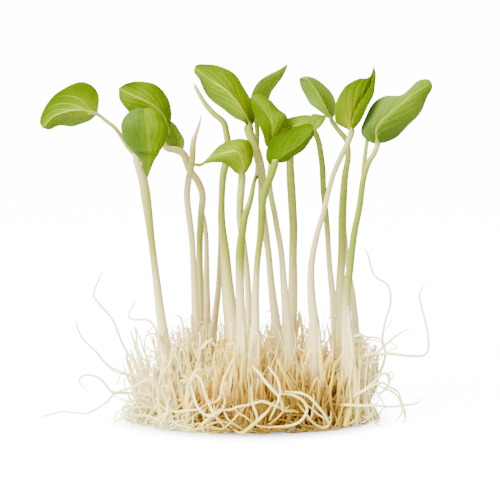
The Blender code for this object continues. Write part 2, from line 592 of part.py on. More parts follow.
def sprout_leaves(name, sprout):
    """The neck above the stem, the leaf stalks and the blades, joined in one body."""
    leaves = neck(name, sprout)
    others = []
    for index, blade in enumerate(sprout["blades"]):
        others.append(blade_solid(name + "_blade" + str(index), blade))
    for index, stalk in enumerate(sprout.get("stalks", [])):
        count = round(path_length(stalk) / STALK_STEP) + 1
        radii = [STALK_RADIUS, STALK_RADIUS, STALK_RADIUS * NECK_TIP_SHARE]
        others.append(tube(name + "_stalk" + str(index), smooth_path(stalk, count), radii, STEM_SIDES))
    apply_boolean(leaves, others, "UNION")
    return leaves


def mat_core():
    """The packed middle of the mat, with a flat underside to stand on."""
    shape = bmesh.new()
    rings = []
    for height, half_width, half_depth in CORE_RINGS:
        ring = []
        for side in range(CORE_SIDES):
            angle = 2 * math.pi * side / CORE_SIDES
            swell = 1 + CORE_LUMP * math.sin(CORE_LOBES * angle + height)
            ring.append(shape.verts.new((half_width * swell * math.cos(angle),
                                         half_depth * swell * math.sin(angle), height)))
        rings.append(ring)
    for lower, upper in zip(rings, rings[1:]):
        for side in range(CORE_SIDES):
            following = (side + 1) % CORE_SIDES
            shape.faces.new((lower[side], lower[following], upper[following], upper[side]))
    shape.faces.new(rings[0][::-1])
    crown = shape.verts.new((0.0, 0.0, CORE_TOP))
    for side in range(CORE_SIDES):
        shape.faces.new((rings[-1][side], rings[-1][(side + 1) % CORE_SIDES], crown))
    return new_object("root_mat", shape)


def root(name, points):
    """One root along its route, never lower than the surface it stands on."""
    kept = [(x, y, max(z, LOWEST_ROOT)) for x, y, z in points]
    count = round(path_length(kept) / ROOT_STEP) + 1
    radii = [ROOT_RADIUS, ROOT_RADIUS, ROOT_RADIUS, ROOT_TIP_RADIUS]
    return tube(name, smooth_path(kept, count), radii, ROOT_SIDES)


def either_way(draw, limits):
    """A size between two limits, taken to the left or to the right."""
    return draw.choice((-1, 1)) * draw.uniform(*limits)


def sheaf_roots(draw):
    """Roots that rise from the mat round each stem and lean in on it."""
    made = []
    for sprout in SPROUTS:
        turned = draw.uniform(0, 2 * math.pi)
        for index in range(SHEAF_ROOTS):
            angle = turned + 2 * math.pi * index / SHEAF_ROOTS
            top = draw.uniform(*SHEAF_TOP)
            beside = max(sprout["radii"]) + SHEAF_CLEARANCE
            spread = draw.uniform(*SHEAF_FOOT) - beside
            points = []
            for out, low, share in SHEAF_COURSE:
                height = low + top * share
                centre = smooth_path(sprout["stem"], 2, 0.0, max(height, low + 1))[1]
                away = beside + spread * out
                x = centre.x + away * math.cos(angle)
                y = centre.y + away * math.sin(angle)
                points.append(Vector((x, y, height)))
            foot = points[0]
            from_middle = math.hypot(foot.x / MAT_HALF_WIDTH, foot.y / MAT_HALF_DEPTH)
            if from_middle > SHEAF_ROOM:
                foot.xy = foot.xy * SHEAF_ROOM / from_middle
            made.append(points)
    return made


def standing_loops(draw):
    """Roots that rise from the mat, arch over and sink back into it."""
    made = []
    for index in range(LOOP_COUNT):
        angle = index * math.pi * (3 - math.sqrt(5))
        out = math.sqrt((index + 0.5) / LOOP_COUNT) * LOOP_ROOM
        x = MAT_HALF_WIDTH * out * math.cos(angle)
        y = MAT_HALF_DEPTH * out * math.sin(angle)
        top = draw.uniform(*LOOP_TOP)
        span = math.copysign(draw.uniform(*LOOP_SPAN), -x)
        made.append([(x + span * along, y, top * share) for along, share in LOOP_COURSE])
    return made


def edge_roots(draw, count, top_limits, turn_limits, course):
    """Roots that run out over the mat's edge all round, each on the same kind of course."""
    made = []
    for index in range(count):
        angle = 2 * math.pi * (index + draw.uniform(-EDGE_SCATTER, EDGE_SCATTER)) / count
        turn = either_way(draw, turn_limits)
        top = draw.uniform(*top_limits)
        points = []
        for out, turned, share in course:
            place = angle + turn * turned
            x = MAT_HALF_WIDTH * out * math.cos(place)
            y = MAT_HALF_DEPTH * out * math.sin(place)
            points.append((x, y, top * share))
        made.append(points)
    return made


def root_mat():
    """The core and its roots in one body, with an open socket round each stem."""
    draw = random.Random(SEED)
    routes = STRAY_ROOTS + FRONT_ROOTS + sheaf_roots(draw) + standing_loops(draw)
    routes += edge_roots(draw, MANTLE_COUNT, MANTLE_TOP, MANTLE_TURN, MANTLE_COURSE)
    routes += edge_roots(draw, SKIRT_COUNT, SKIRT_TOP, SKIRT_TURN, SKIRT_COURSE)
    roots = [root("root_" + str(index), route) for index, route in enumerate(routes)]
    mat = mat_core()
    apply_boolean(mat, roots, "UNION")
    sockets = []
    for index, sprout in enumerate(SPROUTS):
        sockets.append(sprout_stem("socket_" + str(index), sprout, SOCKET_GAP))
    apply_boolean(mat, sockets, "DIFFERENCE")
    keep_largest_body(mat)
    return mat


def build():
    clear_scene()
    stem_surface = material("pale_stem", CREAM, 0.45)
    leaf_surface = material("leaf_green", LEAF_GREEN, 0.45)
    root_surface = material("root_cream", ROOT_CREAM, 0.6)
    finish(root_mat(), root_surface, 50)
    for index, sprout in enumerate(SPROUTS):
        name = "sprout_{:02d}".format(index + 1)
        finish(sprout_stem(name + "_stem", sprout), stem_surface, 50)
        if "blades" in sprout:
            finish(sprout_leaves(name + "_leaves", sprout), leaf_surface, 40)


build()
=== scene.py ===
import math
import random

import bmesh
import bpy
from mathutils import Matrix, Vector, noise


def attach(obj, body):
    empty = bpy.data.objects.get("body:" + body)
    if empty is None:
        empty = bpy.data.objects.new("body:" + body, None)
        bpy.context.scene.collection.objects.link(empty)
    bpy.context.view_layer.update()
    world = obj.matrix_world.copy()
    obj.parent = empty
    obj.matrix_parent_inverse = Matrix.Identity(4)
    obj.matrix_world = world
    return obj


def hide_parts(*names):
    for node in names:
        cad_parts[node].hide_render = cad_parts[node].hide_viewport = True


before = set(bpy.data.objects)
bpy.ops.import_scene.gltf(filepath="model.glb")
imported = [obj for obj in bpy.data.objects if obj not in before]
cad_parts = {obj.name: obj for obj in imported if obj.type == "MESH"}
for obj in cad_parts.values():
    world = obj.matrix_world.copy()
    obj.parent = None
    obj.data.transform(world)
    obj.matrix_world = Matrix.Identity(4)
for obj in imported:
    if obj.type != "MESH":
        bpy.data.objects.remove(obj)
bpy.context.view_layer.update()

mm = 0.001
spanSteps = 12

# The clump's places below are millimetres from the middle of the root mat. X is its width, -Y its
# front and +Z up. clumpShift moves the mat's middle to where the model keeps it.
clumpShift = Vector((7.8, 0.1, 0.0))

cameraSettings = {
    "target": (5.7, 0.1, 51.7),
    "distance": 417.0,
    "elevation": 7.0,
    "lens": 100.0,
    "sensor": 36.0,
}

lightSettings = {
    "worldStrength": 0.97,
    "keyPlace": (-520.0, -420.0, 620.0),
    "keySize": 0.55,
    "keyPower": 42.0,
    "fillPlace": (560.0, -520.0, 300.0),
    "fillSize": 0.7,
    "fillPower": 3.0,
    "backPlace": (120.0, 520.0, 480.0),
    "backSize": 0.6,
    "backPower": 6.0,
}

# metres; the glow leaves out an oval round the mat's foot, given by its middle's X and half sizes: a painted
# contact shadow
floorSettings = {
    "halfWidth": 3.0,
    "front": -2.5,
    "sweepStart": 0.8,
    "sweepRun": 1.4,
    "sweepRise": 1.6,
    "top": 3.5,
    "steps": 24,
    "glow": 14.0,
    "shadow": (0.006, 0.048, 0.030),
}

stemSettings = {
    "sides": 16,
    "step": 1.0,
    "wobble": 0.10,
    "wave": 14.0,
    "seed": 1,
    "stationGap": 1.5,
    "ribShare": 0.52,
    "ribStart": 0.26,
    "ribEnd": 0.08,
    "girth": 1.07,
    "footSwell": 0.95,
    "footTop": 48.0,
    "tailStart": 0.4,
    "flatTail": 0.16,
    "carriedWithin": 3.0,
    "tailGreener": 0.30,
    "greenest": 0.70,
    "stalkBase": 0.72,
    "stalkThinning": 0.2,
    "stalkGreen": 0.40,
}

bladeSettings = {
    "rows": 52,
    "halfColumns": 16,
    "thickness": 0.34,
    "bulge": 0.10,
    "grooveDepth": 0.22,
    "grooveWidth": 0.07,
    "veinCount": 5.0,
    "veinSlant": 0.72,
    "veinDepth": 0.10,
    "veinWidth": 0.22,
    "edgeWave": 0.28,
    "edgeWaves": 2.5,
    "foldHeight": 1.1,
    "fullLength": 17.0,
    "facing": (0.0, -0.8, 0.6),
}

# Each sprout: its stem's route from the roots up, its radius and its greenness at even stations,
# and its blades. Each half of a blade has a tone from dark to bright, its own green with painted
# light and shade where the half faces towards or away from the light, and a share of greyish green
# that is a painted waxy sheen.
sprouts = [
    {
        "stem": [(-25.5, -5, 4), (-26.8, -5, 16), (-28, -5, 26.5), (-29.6, -5, 40.5), (-31.3, -5.5, 55.5),
                 (-32.5, -6, 66), (-33.5, -6, 73), (-35, -6.5, 78.5), (-35.5, -6.5, 81)],
        "radii": [1.2, 1.1, 1.0, 1.0, 1.0, 1.4, 1.2],
        "green": [0, 0, 0.02, 0.12, 0.36, 0.24, 0.10],
        "stalks": [
            [(-35.2, -6.5, 80), (-38, -6.5, 83), (-39.5, -6.5, 85.5), (-41.5, -7, 88.5), (-44, -7, 90.5),
             (-46.5, -7.5, 92.5), (-49, -9, 93)],
            [(-34.5, -6.2, 76), (-33.4, -7.5, 78.5), (-32.2, -8.6, 80.5)],
        ],
        "blades": [
            {"rib": [(-46.5, -7.5, 92.5), (-51, -10, 93.7), (-55, -10.5, 93.3), (-59, -9.5, 91.8),
                     (-62.6, -7, 88.4)],
             "one": [(-46.5, -4, 98), (-49, -3, 101), (-53, -3, 101.5), (-59, -3.5, 98.5), (-62.8, -5, 93),
                     (-63.6, -6, 90)],
             "two": [(-49.5, -6, 90.3), (-53.5, -5.5, 89.1), (-58, -5.5, 89), (-60.8, -6, 88.1)],
             "looks": [(0.24, 0.0), (0.46, 0.30), 0.55], "ribWide": 0.10},
            {"rib": [(-32, -8, 74), (-31.5, -9.5, 77.5), (-31, -10.5, 81.5), (-31.5, -11.5, 85),
                     (-31.5, -12, 88), (-32.5, -10.5, 92), (-33, -8, 94)],
             "one": [(-33, -8, 76), (-34, -8.5, 79), (-36, -7.5, 81.5), (-36.5, -8, 83), (-39, -8.5, 85.5),
                     (-39.5, -9, 89.5), (-37, -8.5, 93), (-35, -8, 94)],
             "two": [(-31.5, -8.5, 76), (-30.5, -9, 78.5), (-28.5, -9, 81), (-28, -9.5, 82.5),
                     (-26.5, -9.5, 85.5), (-26, -9.5, 89), (-28, -9, 92.5), (-31, -8.5, 94)],
             "looks": [(0.00, 0.30), (0.48, 0.0), 0.2], "ribWide": 0, "fold": 0.36,
             "veins": 0.15},
        ],
    },
    {
        "stem": [(-18, 2, 4), (-18, 2, 14.5), (-18.5, 2, 27), (-19, 2, 42.5), (-19.5, 2, 53), (-20.5, 2, 62),
                 (-21, 2, 68), (-20.5, 2, 73), (-19.5, 1.5, 78), (-19, 1, 84), (-17.5, 1, 88.5),
                 (-16.5, 1, 92.5)],
        "radii": [1.0, 0.95, 0.9, 0.88, 0.88, 0.9, 0.95, 0.95, 0.9, 0.12],
        "green": [0, 0, 0.02, 0.12, 0.10, -0.05, 0.25, -0.2],
    },
    {
        "stem": [(-16.5, 7, 4), (-17, 7, 13.5), (-17.5, 7, 26), (-17.5, 7, 38.5), (-17.5, 7, 51),
                 (-17, 7, 61.5), (-16.5, 7, 67.5), (-18, 6.5, 72), (-20.5, 6.5, 75.5), (-22, 6, 80),
                 (-24.5, 5.5, 81.5), (-27, 5, 82), (-28, 4.5, 84), (-27, 4, 87)],
        "radii": [1.0, 0.95, 0.92, 0.92, 0.95, 1.0, 1.0, 1.1, 0.7],
        "green": [0, 0, 0.05, 0.25, 0.38, 0.12, 0.10, 0.30],
        "blades": [
            {"rib": [(-26.5, 4, 87), (-27, 2.5, 90), (-29, 0.5, 93.5), (-33.5, -1, 96.5), (-37, -1, 98),
                     (-41, 0, 100)],
             "one": [(-26, 6, 91), (-26.5, 6.5, 96.5), (-30, 6, 100.5), (-35, 5, 102), (-38.5, 2.5, 101.5)],
             "two": [(-29.5, 3, 87), (-34, 0.5, 89.5), (-38, -1, 93), (-40.5, -1, 96.5)],
             "looks": [(0.54, 0.0), (0.46, 0.05), 0.15], "ribWide": 0.14},
            {"rib": [(-22.5, 6.5, 80.5), (-24, 8, 85), (-25.5, 8, 88), (-27, 7.5, 90.5)],
             "one": [(-22, 6.5, 84), (-24, 6.5, 88), (-26, 7, 90)],
             "two": [(-25.5, 7.5, 81.5), (-28, 7.5, 84.5), (-28.5, 7.5, 88)],
             "looks": [(0.72, 0.80), (0.66, 0.60), 0.0], "ribWide": 0, "veins": 0.3},
        ],
    },
    {
        "stem": [(-14.5, 12, 4), (-15, 12, 12.5), (-15.5, 12, 25), (-15.5, 12, 37.5), (-15.5, 12, 50),
                 (-16, 12, 58), (-17, 12, 64), (-17, 11.5, 68)],
        "radii": [1.0, 1.0, 0.9, 0.8, 0.7, 0.3],
        "green": [0, 0, 0.03, 0.05, 0.05, 0.0],
    },
    {
        "stem": [(-14, 16, 4), (-13.5, 16, 15), (-13.5, 16, 24.5), (-12, 16, 37), (-11.5, 15, 48.5),
                 (-11, 15, 61), (-10.5, 14.5, 71.5), (-9.5, 14, 78)],
        "radii": [0.9, 0.8, 0.75, 0.7, 0.7, 0.3],
        "green": [0, 0, 0.05, 0.1, 0.1, 0.05],
    },
    {
        "stem": [(-7.5, 10, 4), (-8, 10, 13), (-8.5, 10, 24), (-9.5, 10, 33.5), (-10, 10, 41),
                 (-10.5, 10, 50.5), (-11, 9.5, 60), (-10.5, 9, 66)],
        "radii": [0.95, 0.9, 0.85, 0.8, 0.7, 0.3],
        "green": [0, 0, 0.0, 0.02, 0.05, 0.05],
    },
    {
        "stem": [(-5.5, -1, 4), (-6, -1, 15), (-7, -1, 27.5), (-8.5, -1, 39.5), (-9.5, -1, 50.5),
                 (-10.5, -1, 59.5), (-10.5, -1, 67), (-10, -1, 74.5), (-8.5, -1, 81.5), (-9.5, -1, 88.5),
                 (-10.5, -1, 90.5), (-13, -1, 92.5), (-15.5, -1, 95.5), (-17.5, -1, 99), (-18.5, -1, 101)],
        "radii": [1.1, 1.2, 1.3, 1.35, 1.35, 1.3, 1.15, 0.9, 1.1, 0.95, 0.8, 0.45],
        "green": [0, 0, 0.05, 0.15, 0.25, 0.42, 0.50, 0.45, 0.45, 0.35, 0.15],
    },
    {
        "stem": [(-1.5, -7, 4), (-2, -7, 16.5), (-2.5, -7, 28.5), (-2.5, -7, 37.5), (-3, -7.5, 46.5),
                 (-4, -8, 54), (-5, -8.5, 61.5), (-5, -9, 67.5), (-4.5, -9.5, 73.5)],
        "radii": [0.8, 0.75, 0.7, 0.75, 0.9, 1.0, 1.1],
        "green": [0, 0, 0.02, 0.05, 0.10, 0.16, 0.28],
        "blades": [
            {"rib": [(-4.5, -9.5, 74.5), (-4.5, -11.5, 79), (-6, -13, 82), (-9.5, -13, 81.5),
                     (-13, -12.5, 80.5), (-15, -12, 79), (-17, -12, 78), (-19.5, -12, 78.5)],
             "one": [(-6, -9.5, 75.5), (-7.5, -10.5, 77), (-10, -12, 78.5), (-12.5, -12.5, 79),
                     (-14.5, -12.5, 78.5), (-17, -12.5, 77.5)],
             "two": [(-3, -9, 76), (-1.5, -9, 78.5), (-1.5, -9.5, 81.5), (-2.5, -10, 84.5), (-5, -10, 85.5),
                     (-8, -10, 85), (-10.5, -10.5, 83.5), (-12.5, -11, 81.5), (-14.5, -11.5, 79.5),
                     (-16.5, -12, 78.5)],
             "looks": [(0.70, 0.05), (0.48, 0.0), 0.85], "ribWide": 0},
        ],
    },
    {
        "stem": [(-4, -13, 4), (-4, -13, 18), (-4.5, -13, 28), (-5, -13, 41.5), (-5, -13, 52),
                 (-4.5, -13, 57.5), (-3.5, -12.5, 63), (-2, -11.5, 67.5), (-1, -8.5, 72), (0, -1.5, 75.5),
                 (0, 2.5, 81.5), (0, 3.5, 87.5), (-0.5, 4, 91.5)],
        "radii": [1.3, 1.2, 1.0, 1.05, 1.25, 0.95, 0.55, 0.6, 0.7],
        "green": [0, 0, 0, 0, 0, 0.05, 0.2, 0.55, 1.0, 1.0, 0.8, 0.6, 0.55, 0.55, 0.6],
        "blades": [
            {"rib": [(-0.5, 4, 92.5), (1.5, 3.5, 96), (4, 3, 99.5), (6, 2.5, 102.5), (8, 2, 105),
                     (9, 2, 107)],
             "one": [(-2, 2, 95), (-1.5, 1, 98.5), (0.5, 0.5, 102), (3.5, 1, 104), (6.5, 1.5, 105.5)],
             "two": [(2, 5.5, 94), (3.5, 5.5, 97.5), (5.5, 5, 100.5), (7, 4, 103), (8.5, 2.5, 105)],
             "looks": [(0.76, 0.35), (0.70, 0.50), 0.0], "ribWide": 0.20, "veins": 0.7},
        ],
    },
    {
        "stem": [(-1, -15, 4), (-1, -15, 18), (-0.5, -14.5, 30), (-0.5, -14, 38.5), (0, -13.5, 49),
                 (1, -13, 57.5), (1.5, -13, 66.5), (2.5, -13.5, 71), (4, -14, 75), (5, -14.5, 78)],
        "radii": [1.1, 1.0, 0.9, 0.9, 0.9, 1.05, 1.0],
        "green": [0, 0, 0.0, 0.08, 0.55, 1.0, 0.95],
        "blades": [
            {"rib": [(5, -14.5, 79), (8, -16, 81.5), (12, -16.5, 84), (14, -16, 86), (16, -15, 88.5)],
             "one": [(3.5, -13.5, 78.5), (2.5, -12.5, 81), (3.5, -12.5, 84.5), (6.5, -12.5, 86.5),
                     (10, -12, 88.5), (13.5, -12.5, 89.5), (15.5, -13.5, 89.5)],
             "two": [(7.5, -13, 79), (11.5, -12.5, 81), (14, -12.5, 83.5), (16, -13.5, 86)],
             "looks": [(0.14, 0.0), (0.20, 0.10), 0.0], "ribWide": 0, "veins": 0.2},
        ],
    },
    {
        "stem": [(7.5, 3, 4), (7, 3, 14.5), (6, 3, 27), (4.5, 3, 39), (3.5, 2.5, 50), (2.5, 1, 57.5),
                 (1.5, -1, 65.5), (1.5, -4, 73), (0.5, -6, 79), (-1, -6.5, 83.5), (-2.5, -7, 87.5)],
        "radii": [1.2, 1.1, 1.0, 0.9, 0.95, 1.10, 1.25, 1.3],
        "green": [0, 0, 0.0, 0.03, 0.10, 0.20, 0.24, 0.34],
        "blades": [
            {"rib": [(-2.5, -7, 88.5), (-2.5, -7.5, 90.5), (-5, -8, 95), (-8.5, -7.5, 99), (-13, -6, 102),
                     (-18.3, -5, 105.8)],
             "one": [(-1, -5, 90), (-1, -4, 94), (-3.5, -3, 99.5), (-6.5, -2.5, 104), (-11.5, -3, 106.5),
                     (-15.5, -4, 107), (-17.6, -4.5, 106.8)],
             "two": [(-4, -9.5, 90.5), (-8, -9.5, 92.5), (-12.5, -9, 96), (-15.5, -8, 99.5),
                     (-17.2, -6.5, 103), (-18.4, -5.5, 104.8)],
             "looks": [(0.48, 0.0), (0.42, 0.22), 0.45], "ribWide": 0.16},
        ],
    },
    {
        "stem": [(10.5, -8, 4), (10, -8, 16.5), (9, -8, 29), (8, -8, 41), (7, -8, 52.5), (5.5, -8.5, 61.5),
                 (4, -9, 68.5), (3.5, -9.5, 73.5), (4, -9.5, 78), (4, -9.5, 82)],
        "radii": [1.1, 1.0, 0.95, 0.9, 0.85, 0.8, 0.75],
        "green": [0, 0, 0.0, 0.05, 0.20, 0.30, 0.35],
        "blades": [
            {"rib": [(4, -9.5, 82.5), (4, -9.5, 86), (4, -9, 90), (2, -8, 93.5), (-0.5, -7, 96),
                     (-2, -6, 97.5)],
             "one": [(2.5, -10.5, 83.5), (1.5, -10.5, 87), (-0.5, -10, 91.5), (-1.5, -8.5, 95)],
             "two": [(5.5, -8, 84.5), (8, -6.5, 89), (8.5, -6, 91.5), (6.5, -5, 93.5), (4.5, -5, 96),
                     (2, -5, 97.5), (0, -5.5, 98)],
             "looks": [(0.42, 0.0), (0.60, 0.05), 0.15], "ribWide": 0, "veins": 0.45},
        ],
    },
    {
        "stem": [(10, 4, 4), (10.5, 4, 14), (10.5, 4, 25), (11, 4, 39), (11, 4, 51), (11, 4, 59),
                 (10.5, 4, 68), (10, 4, 75.5), (10, 4, 81.5)],
        "radii": [1.2, 1.2, 1.15, 1.2, 1.2, 1.25, 1.1],
        "green": [0, 0, 0.03, 0.12, 0.35, 0.45, 0.45],
        "blades": [
            {"rib": [(10, 4, 82.5), (10.5, 8, 83.5), (10, 13, 84), (10, 18, 84.5)],
             "one": [(13, 5.5, 83), (14.5, 10, 84), (13, 15, 84.5)],
             "two": [(7, 5.5, 83), (6, 10, 84), (7, 15, 84.5)],
             "looks": [(0.48, 0.05), (0.44, 0.05), 0.1], "ribWide": 0.2},
        ],
    },
    {
        "stem": [(17.5, -9, 4), (17, -9, 17), (17, -9, 29), (16, -9, 39.5), (16, -9, 48.5), (17.5, -9, 57),
                 (19.5, -9, 64), (21, -9, 70.5), (22.5, -8.5, 75.5), (24.5, -8.5, 80.5), (26, -8.5, 83.5),
                 (27, -8.5, 86)],
        "radii": [1.3, 1.2, 1.1, 1.0, 0.9, 0.75, 0.72, 0.85],
        "green": [0, 0, 0.0, 0.0, -0.08, -0.12, 0.0, 0.22],
        "blades": [
            {"rib": [(27.5, -8.5, 87.5), (28, -8, 91.5), (29.5, -7.5, 95), (31.5, -7, 98), (33, -6.5, 101.5),
                     (34, -6, 106.5)],
             "one": [(25.5, -8, 88.5), (23, -8.5, 90), (22.5, -9, 93), (23, -9, 96.5), (25.5, -8.5, 100.5),
                     (29, -8, 102.5), (32, -7, 103), (33.5, -6.5, 104.5)],
             "two": [(29, -10.5, 89.5), (31, -11, 93), (33, -10.5, 97), (34, -9, 100.5), (34.5, -7.5, 103.5)],
             "looks": [(0.50, 0.0), (-0.20, 0.0), 1.0], "ribWide": 0},
        ],
    },
    {
        "stem": [(25.5, 6, 4), (25, 6, 14), (24, 6, 28), (23, 6, 38.5), (22, 6, 48), (21.5, 6, 55.5),
                 (21, 5, 61.5), (20, 3, 69.5), (19.5, 1, 77), (18.5, -2, 83), (17.5, -4, 86),
                 (16.5, -5.5, 88)],
        "radii": [0.9, 0.8, 0.8, 0.8, 0.85, 0.9, 0.8],
        "green": [0, 0, 0.0, 0.10, 0.38, 0.60, 0.70],
        "blades": [
            {"rib": [(16.8, -5.5, 88.3), (14, -5, 89.3), (10, -4, 88.8), (5, -3.5, 86)],
             "one": [(16.6, -4.2, 91.4), (14.5, -3.2, 92.2), (11.2, -2.6, 91.7), (8.6, -2.6, 90.9),
                     (6, -3, 88.5)],
             "two": [(13.5, -7, 87), (10, -6.5, 85.5), (7, -5, 84.5)],
             "looks": [(0.50, 0.15), (0.48, 0.20), 0.2], "ribWide": 0, "veins": 0.6},
            {"rib": [(16.8, -6, 87.9), (17.3, -6, 89.6), (18.4, -6, 91), (20.3, -5.5, 91.8)],
             "one": [(15.2, -4.8, 90.2), (16.2, -4.6, 92.3), (18.2, -5, 92.2)],
             "two": [(17.8, -6.8, 88.2), (18.9, -6.8, 89.3), (19.7, -6.2, 90.6)],
             "looks": [(0.50, 0.15), (0.48, 0.20), 0.2], "ribWide": 0, "veins": 0.6},
        ],
    },
    {
        "stem": [(27, -1, 4), (26.5, -1, 15), (25.5, -1, 27.5), (25, -1, 39.5), (25.5, -1, 52),
                 (25.5, -1, 62.5), (26, -1, 73), (27, -1, 80), (26.5, -1, 84.5), (25, -1.5, 86.5),
                 (23, -2, 89), (22, -2.5, 90.5)],
        "radii": [1.0, 1.0, 1.05, 1.1, 1.2, 1.1, 0.8, 0.7],
        "green": [0, 0, 0.03, 0.20, 0.45, 0.55, 0.40, 0.40],
        "blades": [
            {"rib": [(22, -2.5, 90.5), (20.6, -3.8, 93.6), (18.9, -4.6, 96.7), (17, -5, 99.8),
                     (14.6, -4.7, 102.5), (12.5, -4, 103)],
             "one": [(23, -1, 92.5), (23, 0, 96), (21.5, 0, 99.5), (18, -0.5, 102), (15, -2, 103.5)],
             "two": [(20.5, -3, 91.5), (18, -3, 93.5), (15.5, -2.5, 95.5), (13.5, -2.5, 99),
                     (12.5, -3, 101.5)],
             "looks": [(0.80, 0.50), (0.54, 0.85), 0.1], "ribWide": 0.18, "veins": 0.9},
        ],
    },
    {
        "stem": [(27.5, -9, 4), (27.5, -9, 17), (26.5, -9, 29), (26.5, -9, 39.5), (27.5, -9, 49),
                 (28.5, -9, 58), (30, -9, 66), (31, -9, 73.5), (32.5, -9, 78.5), (34, -9, 81),
                 (35, -9, 83.5)],
        "radii": [1.3, 1.1, 1.0, 1.0, 0.95, 0.85, 0.75],
        "green": [0, 0, 0.05, 0.45, 0.72, 0.62, 0.15],
        "stalks": [[(31, -8.2, 75), (31.3, -8, 78.5), (31.7, -7.6, 82), (32.3, -7.5, 85.5), (33, -8, 88)]],
        "blades": [
            {"rib": [(35, -9, 84), (34.5, -10.5, 88.5), (38, -11, 92.5), (41.5, -10.5, 95.5), (46, -9.5, 99),
                     (50.5, -9, 101.5)],
             "one": [(33, -8.5, 84.5), (30.5, -8, 87), (31, -7.5, 90.5), (33.5, -7, 95), (37.5, -6, 97.5),
                     (41.5, -6.5, 98), (44.5, -7, 100), (47, -7.5, 102), (49.5, -8.5, 102.5)],
             "two": [(38, -8.5, 84.6), (41.5, -8, 86.8), (45, -7.5, 90), (47.6, -7.5, 93.6), (49.4, -7.5, 97),
                     (50.6, -8, 99.7)],
             "looks": [(0.40, 0.50), (0.48, 0.30), -0.60], "ribWide": 0.20, "veins": 0.6},
        ],
    },
    {
        "stem": [(29, 6, 4), (30, 6, 14), (30, 6, 24.5), (29.5, 6, 35.5), (28, 6, 45), (27, 6, 54),
                 (26.5, 6, 61.5), (26.5, 5.5, 66.5)],
        "radii": [0.8, 0.75, 0.7, 0.7, 0.6, 0.3],
        "green": [0, 0, 0.0, 0.0, 0.03, 0.03],
    },
]

# Roots whose course is seen one by one: stray ones at both sides, then those in front and at both
# ends with their greatest radius
strayRoots = [
    [(-24, -4, 6), (-32, -5, 13.5), (-36, -5, 17.5), (-40, -5, 23.5), (-43, -6, 31.5), (-48, -6, 37.5),
     (-48.5, -6, 39.5), (-47, -6, 43.5), (-45.5, -6, 46.5)],
    [(-25, -8, 6), (-33, -9, 14), (-37, -10, 15.5), (-43.5, -10, 18), (-48, -10, 23), (-51.5, -10, 26.5),
     (-53, -10, 29.5), (-53.5, -10, 32.5)],
    [(-25, -9, 6), (-31.5, -12, 10), (-39, -14, 11), (-42.5, -14, 11.5), (-45.5, -14, 15), (-49, -14, 16.5),
     (-51.5, -14, 16), (-52, -14, 14), (-49, -14, 11)],
    [(-24, -10, 7), (-31, -15, 15), (-36.5, -15, 13), (-41.5, -14, 11), (-44.5, -12, 8), (-47.5, -10, 5.5),
     (-51, -8, 3.5), (-58.5, -6, 3.5), (-63.5, -4, 2), (-66, -3, 1.2)],
    [(-24, -3, 7), (-29, -3, 24), (-32, -3, 30.5), (-37, -3, 31), (-38.5, -3, 32.5), (-37, -3, 35.5),
     (-36.5, -3, 37)],
    [(24, -2, 6), (31.5, -3, 11.5), (35.5, -3, 13), (37.5, -4, 16.5), (38.5, -4, 21), (37.5, -4, 24.5),
     (38.5, -4, 31), (40, -4, 36.5), (39, -4, 41.5), (35, -4, 44.5), (33, -4, 50.5), (31.5, -4, 53)],
    [(22, -6, 8), (31, -9, 20.5), (38, -10, 22), (43.5, -10, 21.5), (48.5, -10, 21.5), (50.5, -10, 23),
     (50.5, -10, 27.5), (49.5, -10, 32), (48, -10, 38), (48, -10, 40.5), (49.5, -10, 43)],
    [(24, -5, 7), (33.5, -7, 19), (38.5, -7, 24.5), (42.5, -7, 27.5), (45.5, -7, 29)],
    [(24, -9, 6), (32.5, -13, 12.5), (37, -14, 17), (39, -14, 16), (38.5, -14, 13.5), (36.5, -14, 11.5),
     (32, -13, 10.5)],
    [(24, -10, 6), (35, -15, 14), (38.5, -16, 13.5), (41, -16, 12), (42, -16, 9.5), (43, -16, 6),
     (43, -16, 4)],
    [(22, -11, 7), (34.5, -19, 8.5), (39.5, -20, 8.5), (43.5, -20, 9), (46, -20, 9.5), (48, -20, 11)],
    [(20, -5, 9), (27.5, -10, 26), (33, -10, 27), (37, -10, 26), (38, -10, 23)],
    [(-30, -8, 6), (-34.5, -10, 8.5), (-37, -13, 8), (-39, -15, 6.5), (-41, -16, 3)],
]
